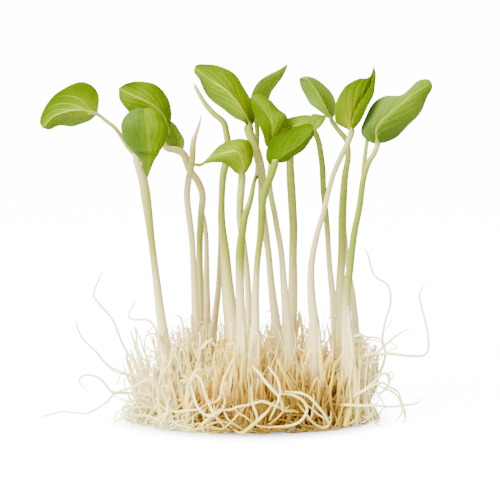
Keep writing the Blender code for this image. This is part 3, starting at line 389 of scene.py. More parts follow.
frontRoots = [
    (0.50, [(-17.5, -13, 16.5), (-18.7, -17, 17.6), (-16.4, -19, 16.2), (-15.3, -20, 13.5),
            (-14.4, -20, 10.9), (-13.3, -20.5, 8.2), (-12.4, -21, 6.5), (-10.7, -20.5, 4.7),
            (-7.8, -19, 3.2)]),
    (0.46, [(-19.3, -17, 14.4), (-18.4, -19, 12), (-17.3, -20.5, 9.1), (-15.6, -21.5, 7),
            (-13.3, -21.8, 6.2), (-11.3, -20.5, 6.8), (-9.5, -17, 7.5)]),
    (0.36, [(-27, -13, 5), (-25, -16, 6.2), (-23.3, -18, 6.5), (-21.3, -19, 7.1), (-19.3, -19.6, 7.4),
            (-17, -19.6, 7.7), (-14.7, -18, 8.8), (-12.5, -14, 10)]),
    (0.26, [(-26, -15, 6), (-25.5, -17, 5.3), (-24.2, -18, 3.5), (-21.9, -18.5, 2.4), (-19.3, -18, 2),
            (-16, -14, 2)]),
    (0.42, [(-11, -16, 9), (-12.7, -20.5, 6.8), (-14.7, -21.3, 5), (-15.8, -21.3, 3.2), (-15.5, -20.8, 1.2)]),
    (0.30, [(-14.7, -20, 2.3), (-13.6, -20.8, 3.8), (-11.3, -21, 4.4), (-9, -20.6, 4.1), (-6.7, -19, 2.9)]),
    (0.28, [(-15, -20, 2.6), (-12.2, -20.8, 2.2), (-9.6, -20.6, 2.4), (-7, -18, 3.4)]),
    (0.42, [(-5, -12, 27.5), (-5.8, -15, 24.6), (-7, -17, 21.8), (-8.1, -18.3, 19.7), (-9.3, -19, 17.6),
            (-10.1, -19.5, 15), (-10.4, -19.8, 13), (-11, -19.8, 10.9), (-12.4, -19.5, 9.7),
            (-14, -17, 8.9)]),
    (0.32, [(-10.1, -17.5, 13), (-9.3, -20, 10.3), (-10.1, -21, 8.2), (-12.4, -21.3, 7.1),
            (-14.5, -19, 6.2)]),
    (0.28, [(-5, -15, 21.8), (-6.7, -17.5, 20), (-7.5, -18.5, 17.6), (-7.8, -19, 14.4), (-8.4, -18.6, 12),
            (-8.6, -16, 10)]),
    (0.38, [(-13, -18, 7), (-10.1, -20.6, 7.9), (-7.5, -21, 8.2), (-5.5, -21.3, 9.1), (-3, -21.3, 9.7),
            (-1.2, -20, 10), (1, -16, 10.5)]),
    (0.45, [(-3.2, -18, 8.2), (-0.9, -21, 10), (1.3, -22, 10.9), (3, -22, 10.3), (4.8, -21.6, 9.4),
            (7, -20, 8.2), (9, -16, 7)]),
    (0.55, [(-2.4, -12, 25), (-2.1, -16, 21.5), (-1, -18, 19.7), (0.8, -19.5, 18.2), (2.2, -20.5, 16.5),
            (3.9, -21.3, 14.7), (5.3, -21.8, 13.2), (6.5, -22, 11.5), (7.1, -21.8, 9.7), (7.4, -21, 7.9),
            (10.5, -19, 7.2), (12.5, -15, 5.5)]),
    (0.40, [(3, -16, 19.5), (4.2, -19, 18.6), (5.6, -20.5, 17), (6.2, -21.5, 15.3), (6.5, -22.4, 13.2),
            (5.9, -22.8, 11.2), (5, -22.6, 8.8), (4.2, -22, 6.8), (3.6, -21, 5)]),
    (0.30, [(9.5, -17, 8), (7.6, -20.5, 7.4), (6.2, -21.2, 6.2), (4.5, -21.2, 4.4), (3, -19, 3)]),
    (0.44, [(-1.5, -18, 3.2), (0.5, -21.5, 3.2), (2.2, -22, 3.2), (5, -22.4, 3.2), (7.9, -22.6, 3.5),
            (10.2, -22.8, 4.1), (12, -23, 5), (13.4, -23, 6.5), (14.2, -22.8, 8.2), (13.7, -22.4, 10),
            (12.5, -21.8, 11.2), (10.5, -21, 12), (8.2, -19, 12), (6, -15, 11)]),
    (0.42, [(7, -16, 12), (8.7, -18.5, 12.6), (10.2, -20, 12.9), (12.2, -21.3, 13.2), (14.3, -22, 12.4),
            (16, -22.3, 10.9), (17.4, -22.3, 9.1), (19.1, -22, 7.1), (20.3, -21.3, 5), (20.8, -20.3, 3.2),
            (19.5, -17, 2)]),
    (0.32, [(12, -18, 9), (14.2, -20.4, 6.5), (15.7, -21, 4.4), (18, -21.2, 2.9), (20, -20.8, 2.6),
            (21.1, -19.6, 3.8), (21.5, -16, 6)]),
    (0.28, [(16.5, -17, 11.5), (16.4, -19.5, 9), (16, -20.2, 7), (15.7, -20.4, 5.6), (14.5, -18, 4)]),
    (0.30, [(14.5, -18, 8.5), (16, -20.3, 7.7), (18, -20.6, 6.2), (19.7, -20.2, 5.3), (21.5, -17, 4.5)]),
    (0.42, [(-2, -17, 15), (-1.5, -20, 11.8), (-1.2, -21.5, 9.4), (-0.4, -22.2, 7.4), (-0.1, -22.3, 5.6),
            (-1.2, -22, 3.8), (-3, -20.5, 1.5)]),
    (0.52, [(-8, -17, 2), (-6, -20, 1.2), (-4.5, -21.5, 1), (-2.7, -22.3, 2.3), (-0.7, -22.6, 4.4),
            (1.3, -22.4, 6.5), (3, -21.5, 8), (5, -18, 9.5)]),
    (0.32, [(-10.5, -17, 8.5), (-9.6, -20.5, 7.4), (-8.4, -21.3, 5.3), (-7, -21.6, 4.1), (-5, -21.5, 2.6),
            (-3, -20, 1.2)]),
    (0.34, [(-12.6, -18, 8.5), (-11.9, -20.8, 7.1), (-11.3, -21.3, 5.3), (-9.9, -21.2, 3.5),
            (-8.1, -20, 1.5)]),
    (0.30, [(-10, -18, 2.2), (-9, -20.8, 3), (-7.2, -21.4, 5), (-5.5, -21.2, 6.8), (-3.5, -18.5, 8.2)]),
    (0.28, [(-7.5, -17, 8.5), (-5.5, -20.4, 7.1), (-3.5, -21, 6.2), (-1.8, -21, 4.7), (0, -19, 3)]),
    (0.38, [(-25.5, -13, 10), (-26.2, -16, 7.8), (-26.2, -17.5, 6), (-27.6, -18.2, 3.6),
            (-27.9, -17.8, 0.9)]),
    (0.28, [(-31.5, -14, 2.2), (-30.5, -15.8, 3), (-28.5, -16.8, 4.3), (-26.6, -17, 5.6), (-24.5, -15, 7)]),
]
endRoots = [
    (0.30, [(25, -6, 22), (27.4, -8, 24.4), (28.9, -8.5, 25.6), (31.5, -8.5, 25.9), (34.2, -8, 25.9),
            (36.9, -7, 25)]),
    (0.34, [(27.5, -6, 25), (29.5, -8, 25.6), (32.1, -8.5, 25), (33.3, -8.5, 23.8), (33.9, -8.5, 21.7),
            (34.2, -8.5, 19.6), (33.9, -8.5, 17.2), (33.6, -8.5, 14.8), (34.2, -8, 12)]),
    (0.22, [(28, -7, 29), (29.2, -8, 28), (30.4, -8.3, 27.1), (31.3, -8.4, 27.4), (32.1, -8.4, 26.8),
            (32.4, -8, 25.6)]),
    (0.32, [(29, -7, 22.5), (31, -8, 23.2), (32.1, -8.5, 23.8), (33, -8.7, 23.2), (31.8, -8.9, 21.4),
            (31, -9, 19.3), (30.4, -9, 16.9), (30.1, -8.5, 13.9), (29, -7, 11)]),
    (0.28, [(25, -7, 17.5), (27.4, -9, 18.4), (30.4, -9.5, 18.7), (33.3, -9.3, 19.3), (35.1, -9, 19.3),
            (36.6, -8.5, 20.2), (37.5, -8, 21.7)]),
    (0.32, [(33, -7, 13), (36.3, -9, 15.7), (38, -9.3, 16), (38.9, -9.5, 14.8), (39.2, -9.5, 13),
            (38.6, -9.5, 11.4), (37.4, -9.4, 10.2), (36.3, -9, 9.3)]),
    (0.24, [(37.5, -8.5, 15.8), (38.9, -9, 16), (40.1, -9, 16.6), (40.7, -9, 15.4), (39.8, -8.6, 13.9)]),
    (0.34, [(33, -7, 13.5), (34.5, -9, 12.9), (36.6, -10, 12.3), (38.6, -10.5, 11.4), (40.4, -10.5, 10.8),
            (41.9, -10.5, 9), (42.7, -10.3, 6.9), (43.3, -10, 5.7)]),
    (0.24, [(37.5, -9.5, 11.9), (39.8, -9.8, 10.5), (40.4, -9.6, 9.6)]),
    (0.26, [(33.5, -7, 12.5), (34.8, -8.5, 11.4), (36, -9, 9.9), (37.2, -9, 7.8), (37.7, -8.6, 6)]),
    (0.26, [(34, -8, 5), (36, -10, 7.5), (36, -10.3, 8.7), (35.4, -10.4, 9.6), (34.8, -10.3, 8.4),
            (34.8, -10, 6.6)]),
    (0.30, [(38.5, -7, 5), (37.1, -9, 4.8), (36.3, -10, 3.6), (36, -10.5, 1.9), (35.1, -10.5, 1),
            (36.6, -12, 0.6)]),
    (0.26, [(43, -8, 5.6), (44, -8.5, 4.8), (44.2, -8.7, 3.3), (44.2, -8.7, 1.5), (43.6, -8.5, 0.9)]),
    (0.28, [(43.2, -8, 5.5), (43.3, -8.5, 4.5), (42.7, -9, 3), (41.5, -9, 1.8)]),
    (0.24, [(38.5, -6, 25.5), (40.9, -6.5, 24.1), (41.9, -6.5, 23.2), (40.1, -6.5, 22.6), (38, -6.3, 21.4),
            (36.5, -5, 20.5)]),
    (0.22, [(37.5, -5.5, 29), (38.3, -6, 29.1), (39.2, -6, 29.7), (39.8, -6, 30.8), (39.8, -6, 31.9)]),
    (0.24, [(29.5, -9, 4.5), (32.1, -11.5, 3), (33.6, -11.8, 3.9), (34.8, -11, 5.4), (36, -8, 6.5)]),
    (0.22, [(30, -10, 1.5), (31.3, -12, 1.8), (32.7, -12.3, 3), (33.9, -12, 3.9), (35.5, -9, 5)]),
    (0.22, [(33, -9, 5), (33.9, -11.5, 3.6), (34.8, -11.8, 1.8), (36.5, -9, 1)]),
    (0.40, [(28.5, -8, 25.5), (28.3, -10, 22), (27.8, -11, 18.5), (27.4, -12, 13), (27.4, -13, 6),
            (27, -12, 1)]),
    (0.36, [(29, -8, 24), (30.2, -10, 20), (30.2, -11, 16), (29.8, -12, 11), (29.5, -13, 5), (29.5, -12, 1)]),
    (0.34, [(32.7, -8.5, 23), (32.6, -9.5, 19), (32.2, -10, 14), (32.1, -11, 9.5), (33, -11.5, 5),
            (33.5, -11, 1)]),
    (0.28, [(33.6, -8.5, 15), (33.3, -9.5, 12), (33.4, -10.5, 9), (34.3, -11, 6), (35.4, -11.5, 3)]),
    (0.30, [(31, -7, 22), (31.6, -8.5, 17.5), (31, -9.5, 13), (31.6, -10.5, 8.5), (32.5, -11, 3)]),
    (0.30, [(-30.5, -6, 29.5), (-32.5, -7, 27.8), (-33.4, -7.5, 25), (-33.1, -8, 22.4), (-32.8, -8.5, 19.4),
            (-32.5, -9, 15.8), (-32, -9, 9), (-31.5, -9, 3)]),
    (0.26, [(-37, -8, 18.5), (-35.7, -8.5, 20), (-34.6, -9, 20.8), (-33.4, -9, 19.8), (-32.8, -9, 18.2),
            (-32.6, -9, 14), (-32, -9, 8)]),
    (0.24, [(-35.6, -8.6, 18.7), (-34.6, -9.2, 17), (-33.4, -9.3, 17.9), (-32.3, -9, 19), (-30, -7, 20)]),
    (0.32, [(-35.5, -8, 17.5), (-36.6, -9, 17), (-37.2, -9.5, 14.6), (-36.9, -10, 12.2), (-36.3, -10.3, 10.1),
            (-34.8, -10.5, 8), (-32.5, -9, 6)]),
    (0.34, [(-35, -8, 17), (-34.6, -9, 14.6), (-34.9, -9.5, 11), (-35.8, -9.5, 8.6), (-36.5, -9, 5.5)]),
    (0.24, [(-44, -9, 17.5), (-41.4, -9.5, 16.1), (-39, -9.8, 15.5), (-36.6, -9.5, 14.6), (-33, -7, 13)]),
    (0.22, [(-40.5, -9.6, 16), (-41.1, -9.8, 14), (-41.9, -9.8, 12.5)]),
    (0.26, [(-36.4, -9.8, 11.5), (-37.8, -10.3, 8.6), (-39.6, -10.5, 5.9), (-41.7, -10.5, 4.4),
            (-42.6, -10.3, 1.7)]),
    (0.26, [(-43.4, -9, 10), (-41.1, -10, 8.9), (-38.4, -10.6, 7.8), (-35.5, -11, 7.7), (-32.8, -11.5, 6.5),
            (-29, -10, 4)]),
    (0.28, [(-40.2, -10, 6), (-37.5, -11, 5.6), (-34.6, -11.5, 6.2), (-31.6, -11.5, 6.2), (-28, -10, 7)]),
    (0.34, [(-40.5, -10.5, 4.1), (-36.6, -11.5, 3.8), (-32.5, -12.5, 4.1), (-29.3, -13.5, 3), (-26, -13, 2)]),
    (0.28, [(-42.6, -10.5, 1.4), (-41.1, -11, 2.6), (-38.1, -12, 3.2), (-35.7, -12.5, 2.3),
            (-37.2, -13, 0.6)]),
    (0.24, [(-32, -8.5, 19.5), (-29.3, -10, 17.9), (-27.2, -10.5, 16.6), (-25, -9.5, 15)]),
    (0.26, [(-32.5, -10, 11), (-31.6, -11.5, 10.7), (-29.3, -13, 8.3), (-26.9, -14.5, 5.9), (-25, -14, 4.5)]),
    (0.26, [(-26.2, -8, 27), (-25.3, -9, 24.5), (-24.2, -10, 22.4), (-22.8, -11, 18.2), (-21, -12, 14),
            (-19.5, -12, 11)]),
    (0.24, [(-21.3, -8, 28), (-21.9, -9, 25.4), (-23, -10, 22.1), (-22.6, -10.5, 19.4), (-22, -10, 15)]),
    (0.24, [(-25.9, -7, 30), (-24.5, -8, 27.8), (-22.8, -8.5, 28.4), (-21, -8, 29), (-19.5, -6, 29)]),
    (0.26, [(-22.4, -8.5, 28.2), (-23.7, -9.5, 25.1), (-24.5, -10, 22.4), (-25.4, -10, 20), (-26, -9, 16)]),
    (0.34, [(-13, -11, 27), (-14.2, -12, 26.2), (-15.8, -12.5, 24.5), (-17.2, -12.5, 23.6), (-18, -11, 21)]),
]

matSettings = {
    "middle": -2.0,
    "halfWidth": 33.5,
    "halfDepth": 17.0,
    "lowest": 0.40,
    "widest": 38.5,
    "deepest": 19.0,
    "height": 26.5,
    "backDepth": 21.5,
    "backDeepest": 24.5,
    "tipShare": 0.45,
    "behind": 8.0,
    "behindShare": 0.6,
}

heartSettings = {
    "halfWidth": 29.0,
    "halfDepth": 14.5,
    "height": 17.0,
    "underside": 0.3,
    "sides": 96,
    "levels": 18,
    "lump": 0.16,
    "lumpScale": 0.22,
    "grain": 0.05,
}

# Smooth routes

def fineCurve(points):
    given = [Vector(point) for point in points]
    padded = [2 * given[0] - given[1]] + given + [2 * given[-1] - given[-2]]
    fine = []
    for index in range(1, len(padded) - 2):
        before, start, end, after = padded[index - 1:index + 3]
        for step in range(spanSteps):
            t = step / spanSteps
            bend = 2 * before - 5 * start + 4 * end - after
            twist = 3 * start - before - 3 * end + after
            fine.append(0.5 * (2 * start + (end - before) * t + bend * t * t + twist * t * t * t))
    fine.append(given[-1])
    run = [0.0]
    for first, second in zip(fine, fine[1:]):
        run.append(run[-1] + (second - first).length)
    return fine, run


def smoothPath(points, count, start=0.0, end=None):
    fine, run = fineCurve(points)
    last = run[-1] if end is None else end
    stations = []
    span = 0
    for index in range(count):
        wanted = start + (last - start) * index / (count - 1)
        while span < len(fine) - 2 and run[span + 1] < wanted:
            span += 1
        share = (wanted - run[span]) / (run[span + 1] - run[span])
        stations.append(fine[span].lerp(fine[span + 1], min(share, 1.0)))
    return stations


def pathLength(points):
    return fineCurve(points)[1][-1]


def readEvenly(values, share):
    place = share * (len(values) - 1)
    low = min(int(place), len(values) - 2)
    return values[low] + (values[low + 1] - values[low]) * (place - low)


# Tubes along routes, by Geometry Nodes: the noise of each strand is taken at a place of its own and
# raised, as it rarely reaches its limits

strandSpacing = 97.0
wobbleGain = 4.0


def addNode(tree, kind, inputs=None, **settings):
    made = tree.nodes.new(kind)
    for name, value in settings.items():
        setattr(made, name, value)
    for name, value in (inputs or {}).items():
        if isinstance(value, bpy.types.NodeSocket):
            tree.links.new(value, made.inputs[name])
        else:
            made.inputs[name].default_value = value
    return made


def maths(tree, operation, first, second=0.0):
    return addNode(tree, "ShaderNodeMath", {0: first, 1: second}, operation=operation).outputs[0]


def product(tree, first, *others):
    for other in others:
        first = maths(tree, "MULTIPLY", first, other)
    return first


def total(tree, first, *others):
    for other in others:
        first = maths(tree, "ADD", first, other)
    return first


def splitPlace(tree, place):
    return addNode(tree, "ShaderNodeSeparateXYZ", {0: place}).outputs


def buildRouteTubes():
    tree = bpy.data.node_groups.new("routeTubes", "GeometryNodeTree")
    sockets = [
        ("Geometry", "NodeSocketGeometry", None),
        ("Step", "NodeSocketFloat", 0.001),
        ("Sides", "NodeSocketInt", 6),
        ("Wobble", "NodeSocketFloat", 0.0003),
        ("Wave Scale", "NodeSocketFloat", 150.0),
        ("Seed", "NodeSocketInt", 1),
        ("Skin", "NodeSocketMaterial", None),
    ]
    for name, kind, value in sockets:
        socket = tree.interface.new_socket(name, in_out="INPUT", socket_type=kind)
        if value is not None:
            socket.default_value = value
    tree.interface.new_socket("Geometry", in_out="OUTPUT", socket_type="NodeSocketGeometry")
    given = addNode(tree, "NodeGroupInput").outputs
    lines = addNode(tree, "GeometryNodeMeshToCurve", {"Mesh": given["Geometry"]})
    bent = addNode(tree, "GeometryNodeCurveSplineType", {"Curve": lines.outputs["Curve"]},
                   spline_type="CATMULL_ROM")
    even = addNode(tree, "GeometryNodeResampleCurve",
                   {"Curve": bent.outputs["Curve"], "Length": given["Step"]}, mode="LENGTH")
    strand = addNode(tree, "GeometryNodeInputNamedAttribute", {"Name": "strand"}, data_type="FLOAT")
    apart = total(tree, product(tree, strand.outputs[0], strandSpacing), given["Seed"])
    where = addNode(tree, "GeometryNodeInputPosition")
    waves = addNode(tree, "ShaderNodeTexNoise",
                    {"Vector": where.outputs[0], "W": apart, "Scale": given["Wave Scale"],
                     "Detail": 1.0, "Roughness": 0.4}, noise_dimensions="4D")
    centred = addNode(tree, "ShaderNodeVectorMath", {0: waves.outputs["Color"], 1: (0.5, 0.5, 0.5)},
                      operation="SUBTRACT")
    swing = product(tree, given["Wobble"], wobbleGain)
    offset = addNode(tree, "ShaderNodeVectorMath", {0: centred.outputs[0], "Scale": swing},
                     operation="SCALE")
    moved = addNode(tree, "GeometryNodeSetPosition",
                    {"Geometry": even.outputs["Curve"], "Offset": offset.outputs[0]})
    thick = addNode(tree, "GeometryNodeInputNamedAttribute", {"Name": "thick"}, data_type="FLOAT")
    now = addNode(tree, "GeometryNodeInputPosition")
    after = splitPlace(tree, now.outputs[0])
    above = maths(tree, "MAXIMUM", after["Z"], thick.outputs[0])
    resting = addNode(tree, "ShaderNodeCombineXYZ", {"X": after["X"], "Y": after["Y"], "Z": above})
    laid = addNode(tree, "GeometryNodeSetPosition",
                   {"Geometry": moved.outputs[0], "Position": resting.outputs[0]})
    share = addNode(tree, "GeometryNodeSplineParameter")
    kept = addNode(tree, "GeometryNodeStoreNamedAttribute",
                   {"Geometry": laid.outputs[0], "Name": "along", "Value": share.outputs["Factor"]},
                   data_type="FLOAT", domain="POINT")
    ring = addNode(tree, "GeometryNodeCurvePrimitiveCircle", {"Resolution": given["Sides"], "Radius": 1.0})
    skin = addNode(tree, "GeometryNodeCurveToMesh",
                   {"Curve": kept.outputs[0], "Profile Curve": ring.outputs["Curve"],
                    "Scale": thick.outputs[0], "Fill Caps": True})
    smooth = addNode(tree, "GeometryNodeSetShadeSmooth", {"Geometry": skin.outputs[0]})
    real = addNode(tree, "GeometryNodeRealizeInstances", {"Geometry": smooth.outputs[0]})
    dressed = addNode(tree, "GeometryNodeSetMaterial",
                      {"Geometry": real.outputs[0], "Material": given["Skin"]})
    addNode(tree, "NodeGroupOutput", {"Geometry": dressed.outputs[0]})
    return tree


def addObject(name, data):
    made = bpy.data.objects.new(name, data)
    bpy.context.scene.collection.objects.link(made)
    return made


def addShape(name, shape, skin):
    # an object with the mesh that a bmesh has built
    mesh = bpy.data.meshes.new(name)
    shape.to_mesh(mesh)
    shape.free()
    mesh.materials.append(skin)
    mesh.shade_smooth()
    return addObject(name, mesh)


def growTubes(name, tree, routes, settings, skin):
    # each route: points and radii in mm, its own random number, and greenness at each point
    places, edges, thick, strand, green, bright = [], [], [], [], [], []
    for route in routes:
        first = len(places)
        for index, point in enumerate(route["points"]):
            places.append((Vector(point) + clumpShift) * mm)
            thick.append(route["radii"][index] * mm)
            strand.append(route["strand"])
            green.append(route["green"][index] if "green" in route else 0.0)
            bright.append(settings.get("bright", 0.0))
        edges += [(index, index + 1) for index in range(first, len(places) - 1)]
    mesh = bpy.data.meshes.new(name + "Routes")
    mesh.from_pydata(places, edges, [])
    for label, values in (("thick", thick), ("strand", strand), ("green", green), ("bright", bright)):
        mesh.attributes.new(label, "FLOAT", "POINT").data.foreach_set("value", values)
    made = addObject(name, mesh)
    modifier = made.modifiers.new("routeTubes", "NODES")
    modifier.node_group = tree
    values = {
        "Step": settings["step"] * mm,
        "Sides": settings["sides"],
        "Wobble": settings["wobble"] * mm,
        "Wave Scale": 1.0 / (settings["wave"] * mm),
        "Seed": settings["seed"],
        "Skin": skin,
    }
    for item in tree.interface.items_tree:
        if item.item_type == "SOCKET" and item.in_out == "INPUT" and item.name in values:
            modifier[item.identifier] = values[item.name]
    evaluated = made.evaluated_get(bpy.context.evaluated_depsgraph_get())
    result = bpy.data.meshes.new_from_object(evaluated)
    made.modifiers.remove(modifier)
    made.data = result
    return made


# Skins: small helpers, the effects that several skins share, then one skin for each tissue

def blendColours(tree, share, first, second, kind="MIX"):
    if isinstance(second, tuple):
        second = (*second, 1.0)
    made = addNode(tree, "ShaderNodeMix", {0: share, 6: first, 7: second}, data_type="RGBA",
                   blend_type=kind)
    return made.outputs[2]


def rescale(tree, value, low, high, first=0.0, last=1.0):
    sockets = {"Value": value, "From Min": low, "From Max": high, "To Min": first, "To Max": last}
    return addNode(tree, "ShaderNodeMapRange", sockets, interpolation_type="SMOOTHSTEP").outputs[0]


def colourRamp(tree, value, stops):
    made = addNode(tree, "ShaderNodeValToRGB", {0: value})
    ramp = made.color_ramp
    ramp.elements[0].position, ramp.elements[1].position = stops[0][0], stops[-1][0]
    for place, colour in stops[1:-1]:
        ramp.elements.new(place)
    for element, (place, colour) in zip(ramp.elements, stops):
        element.color = (*colour, 1.0)
    return made.outputs[0]


def newGroup(name, inputs, outputs):
    tree = bpy.data.node_groups.new(name, "ShaderNodeTree")
    for label, kind, value in inputs:
        socket = tree.interface.new_socket(label, in_out="INPUT", socket_type=kind)
        socket.default_value = value
    for label in outputs:
        tree.interface.new_socket(label, in_out="OUTPUT", socket_type="NodeSocketFloat")
    return tree, addNode(tree, "NodeGroupInput").outputs


def buildTissueGrain():
    # mottling and the edges of small cells, stretched along whichever way the tissue grows
    inputs = [("Vector", "NodeSocketVector", (0.0, 0.0, 0.0)),
              ("Stretch", "NodeSocketVector", (1.0, 1.0, 1.0)),
              ("Scale", "NodeSocketFloat", 400.0)]
    tree, given = newGroup("tissueGrain", inputs, ["Mottle", "Cells"])
    drawn = addNode(tree, "ShaderNodeVectorMath", {0: given["Vector"], 1: given["Stretch"]},
                    operation="MULTIPLY").outputs[0]
    mottle = addNode(tree, "ShaderNodeTexNoise",
                     {"Vector": drawn, "Scale": given["Scale"], "Detail": 3.0, "Roughness": 0.55})
    finer = product(tree, given["Scale"], 3.0)
    cells = addNode(tree, "ShaderNodeTexVoronoi", {"Vector": drawn, "Scale": finer},
                    feature="DISTANCE_TO_EDGE")
    edges = rescale(tree, cells.outputs["Distance"], 0.0, 0.12, 1.0, 0.0)
    addNode(tree, "NodeGroupOutput", {"Mottle": mottle.outputs[0], "Cells": edges})
    return tree


def buildLeafVeins():
    # side veins that leave the midrib and sweep towards the tip, and the midrib itself
    inputs = [("Across", "NodeSocketFloat", 0.0), ("Along", "NodeSocketFloat", 0.0),
              ("Count", "NodeSocketFloat", 6.0), ("Slant", "NodeSocketFloat", 0.4),
              ("Width", "NodeSocketFloat", 0.1)]
    tree, given = newGroup("leafVeins", inputs, ["Veins", "Midrib"])
    out = maths(tree, "ABSOLUTE", given["Across"])
    swept = product(tree, maths(tree, "POWER", out, 0.9), given["Slant"])
    start = maths(tree, "SUBTRACT", given["Along"], swept)
    phase = product(tree, start, given["Count"])
    gap = maths(tree, "PINGPONG", phase, 0.5)
    narrowing = product(tree, given["Width"], rescale(tree, out, 0.0, 1.0, 1.0, 0.35))
    line = addNode(tree, "ShaderNodeMapRange",
                   {"Value": gap, "From Min": 0.0, "From Max": narrowing, "To Min": 1.0, "To Max": 0.0},
                   interpolation_type="SMOOTHSTEP").outputs[0]
    towardsEdge = rescale(tree, out, 0.55, 1.0, 1.0, 0.0)
    fading = product(tree, towardsEdge, rescale(tree, start, -0.08, 0.0))
    veins = product(tree, line, fading)
    ribWidth = rescale(tree, given["Along"], 0.0, 1.0, 0.13, 0.055)
    midrib = addNode(tree, "ShaderNodeMapRange",
                     {"Value": out, "From Min": 0.0, "From Max": ribWidth, "To Min": 1.0, "To Max": 0.0},
                     interpolation_type="SMOOTHSTEP").outputs[0]
    addNode(tree, "NodeGroupOutput", {"Veins": veins, "Midrib": midrib})
    return tree


def useGroup(tree, group, inputs):
    return addNode(tree, "ShaderNodeGroup", inputs, node_tree=group).outputs


def objectPlace(tree):
    return addNode(tree, "ShaderNodeTexCoord").outputs["Object"]


def newSkin(name, values):
    made = bpy.data.materials.new(name)
    made.use_nodes = True
    tree = made.node_tree
    surface = tree.nodes["Principled BSDF"]
    for label, value in values.items():
        surface.inputs[label].default_value = value
    return made, tree, surface.inputs


def surfaceBump(tree, sockets, height, strength, distance):
    bump = addNode(tree, "ShaderNodeBump", {"Height": height, "Strength": strength, "Distance": distance})
    tree.links.new(bump.outputs[0], sockets["Normal"])


def readAttribute(tree, name):
    return addNode(tree, "ShaderNodeAttribute", attribute_name=name, attribute_type="GEOMETRY").outputs


def buildStemSkin(grain):
    values = {"Metallic": 0.0, "Subsurface Weight": 0.30, "Subsurface Scale": 0.0016,
              "Subsurface Radius": (1.0, 0.85, 0.40), "Specular IOR Level": 0.22, "Coat Weight": 0.03,
              "Coat Roughness": 0.30}
    made, tree, sockets = newSkin("stemSkin", values)
    place = objectPlace(tree)
    streaks = useGroup(tree, grain, {"Vector": place, "Stretch": (1.0, 1.0, 0.05), "Scale": 900.0})
    patches = useGroup(tree, grain, {"Vector": place, "Stretch": (1.0, 1.0, 0.6), "Scale": 90.0})
    green = readAttribute(tree, "green")["Fac"]
    shifted = maths(tree, "DIVIDE", total(tree, green, 0.3), 1.3)
    uneven = product(tree, maths(tree, "SUBTRACT", patches["Mottle"], 0.5), 0.22)
    base = colourRamp(tree, total(tree, shifted, uneven), [
        (0.00, (0.54, 0.42, 0.17)),
        (0.23, (0.56, 0.45, 0.17)),
        (0.45, (0.31, 0.33, 0.036)),
        (0.65, (0.19, 0.24, 0.006)),
        (1.00, (0.16, 0.21, 0.0003)),
    ])
    streaked = blendColours(tree, 0.35, base, colourRamp(tree, streaks["Mottle"], [
        (0.30, (0.66, 0.62, 0.46)),
        (0.60, (1.0, 1.0, 0.96)),
    ]), "MULTIPLY")
    # paler towards the foot where a stem is not green: partly the stems' own whitish base, partly painted
    # light that lifts lower parts standing in shade
    low = splitPlace(tree, place)["Z"]
    ungreen = rescale(tree, green, 0.05, 0.5, 1.0, 0.0)
    paleFootAndPaintedLight = product(tree, rescale(tree, low, 0.015, 0.070, 0.50, 0.03), ungreen)
    pale = blendColours(tree, paleFootAndPaintedLight, streaked, (0.90, 0.80, 0.42))
    tree.links.new(pale, sockets["Base Color"])
    tree.links.new(rescale(tree, streaks["Mottle"], 0.2, 0.8, 0.30, 0.46), sockets["Roughness"])
    surfaceBump(tree, sockets, streaks["Mottle"], 0.25, 0.00012)
    return made


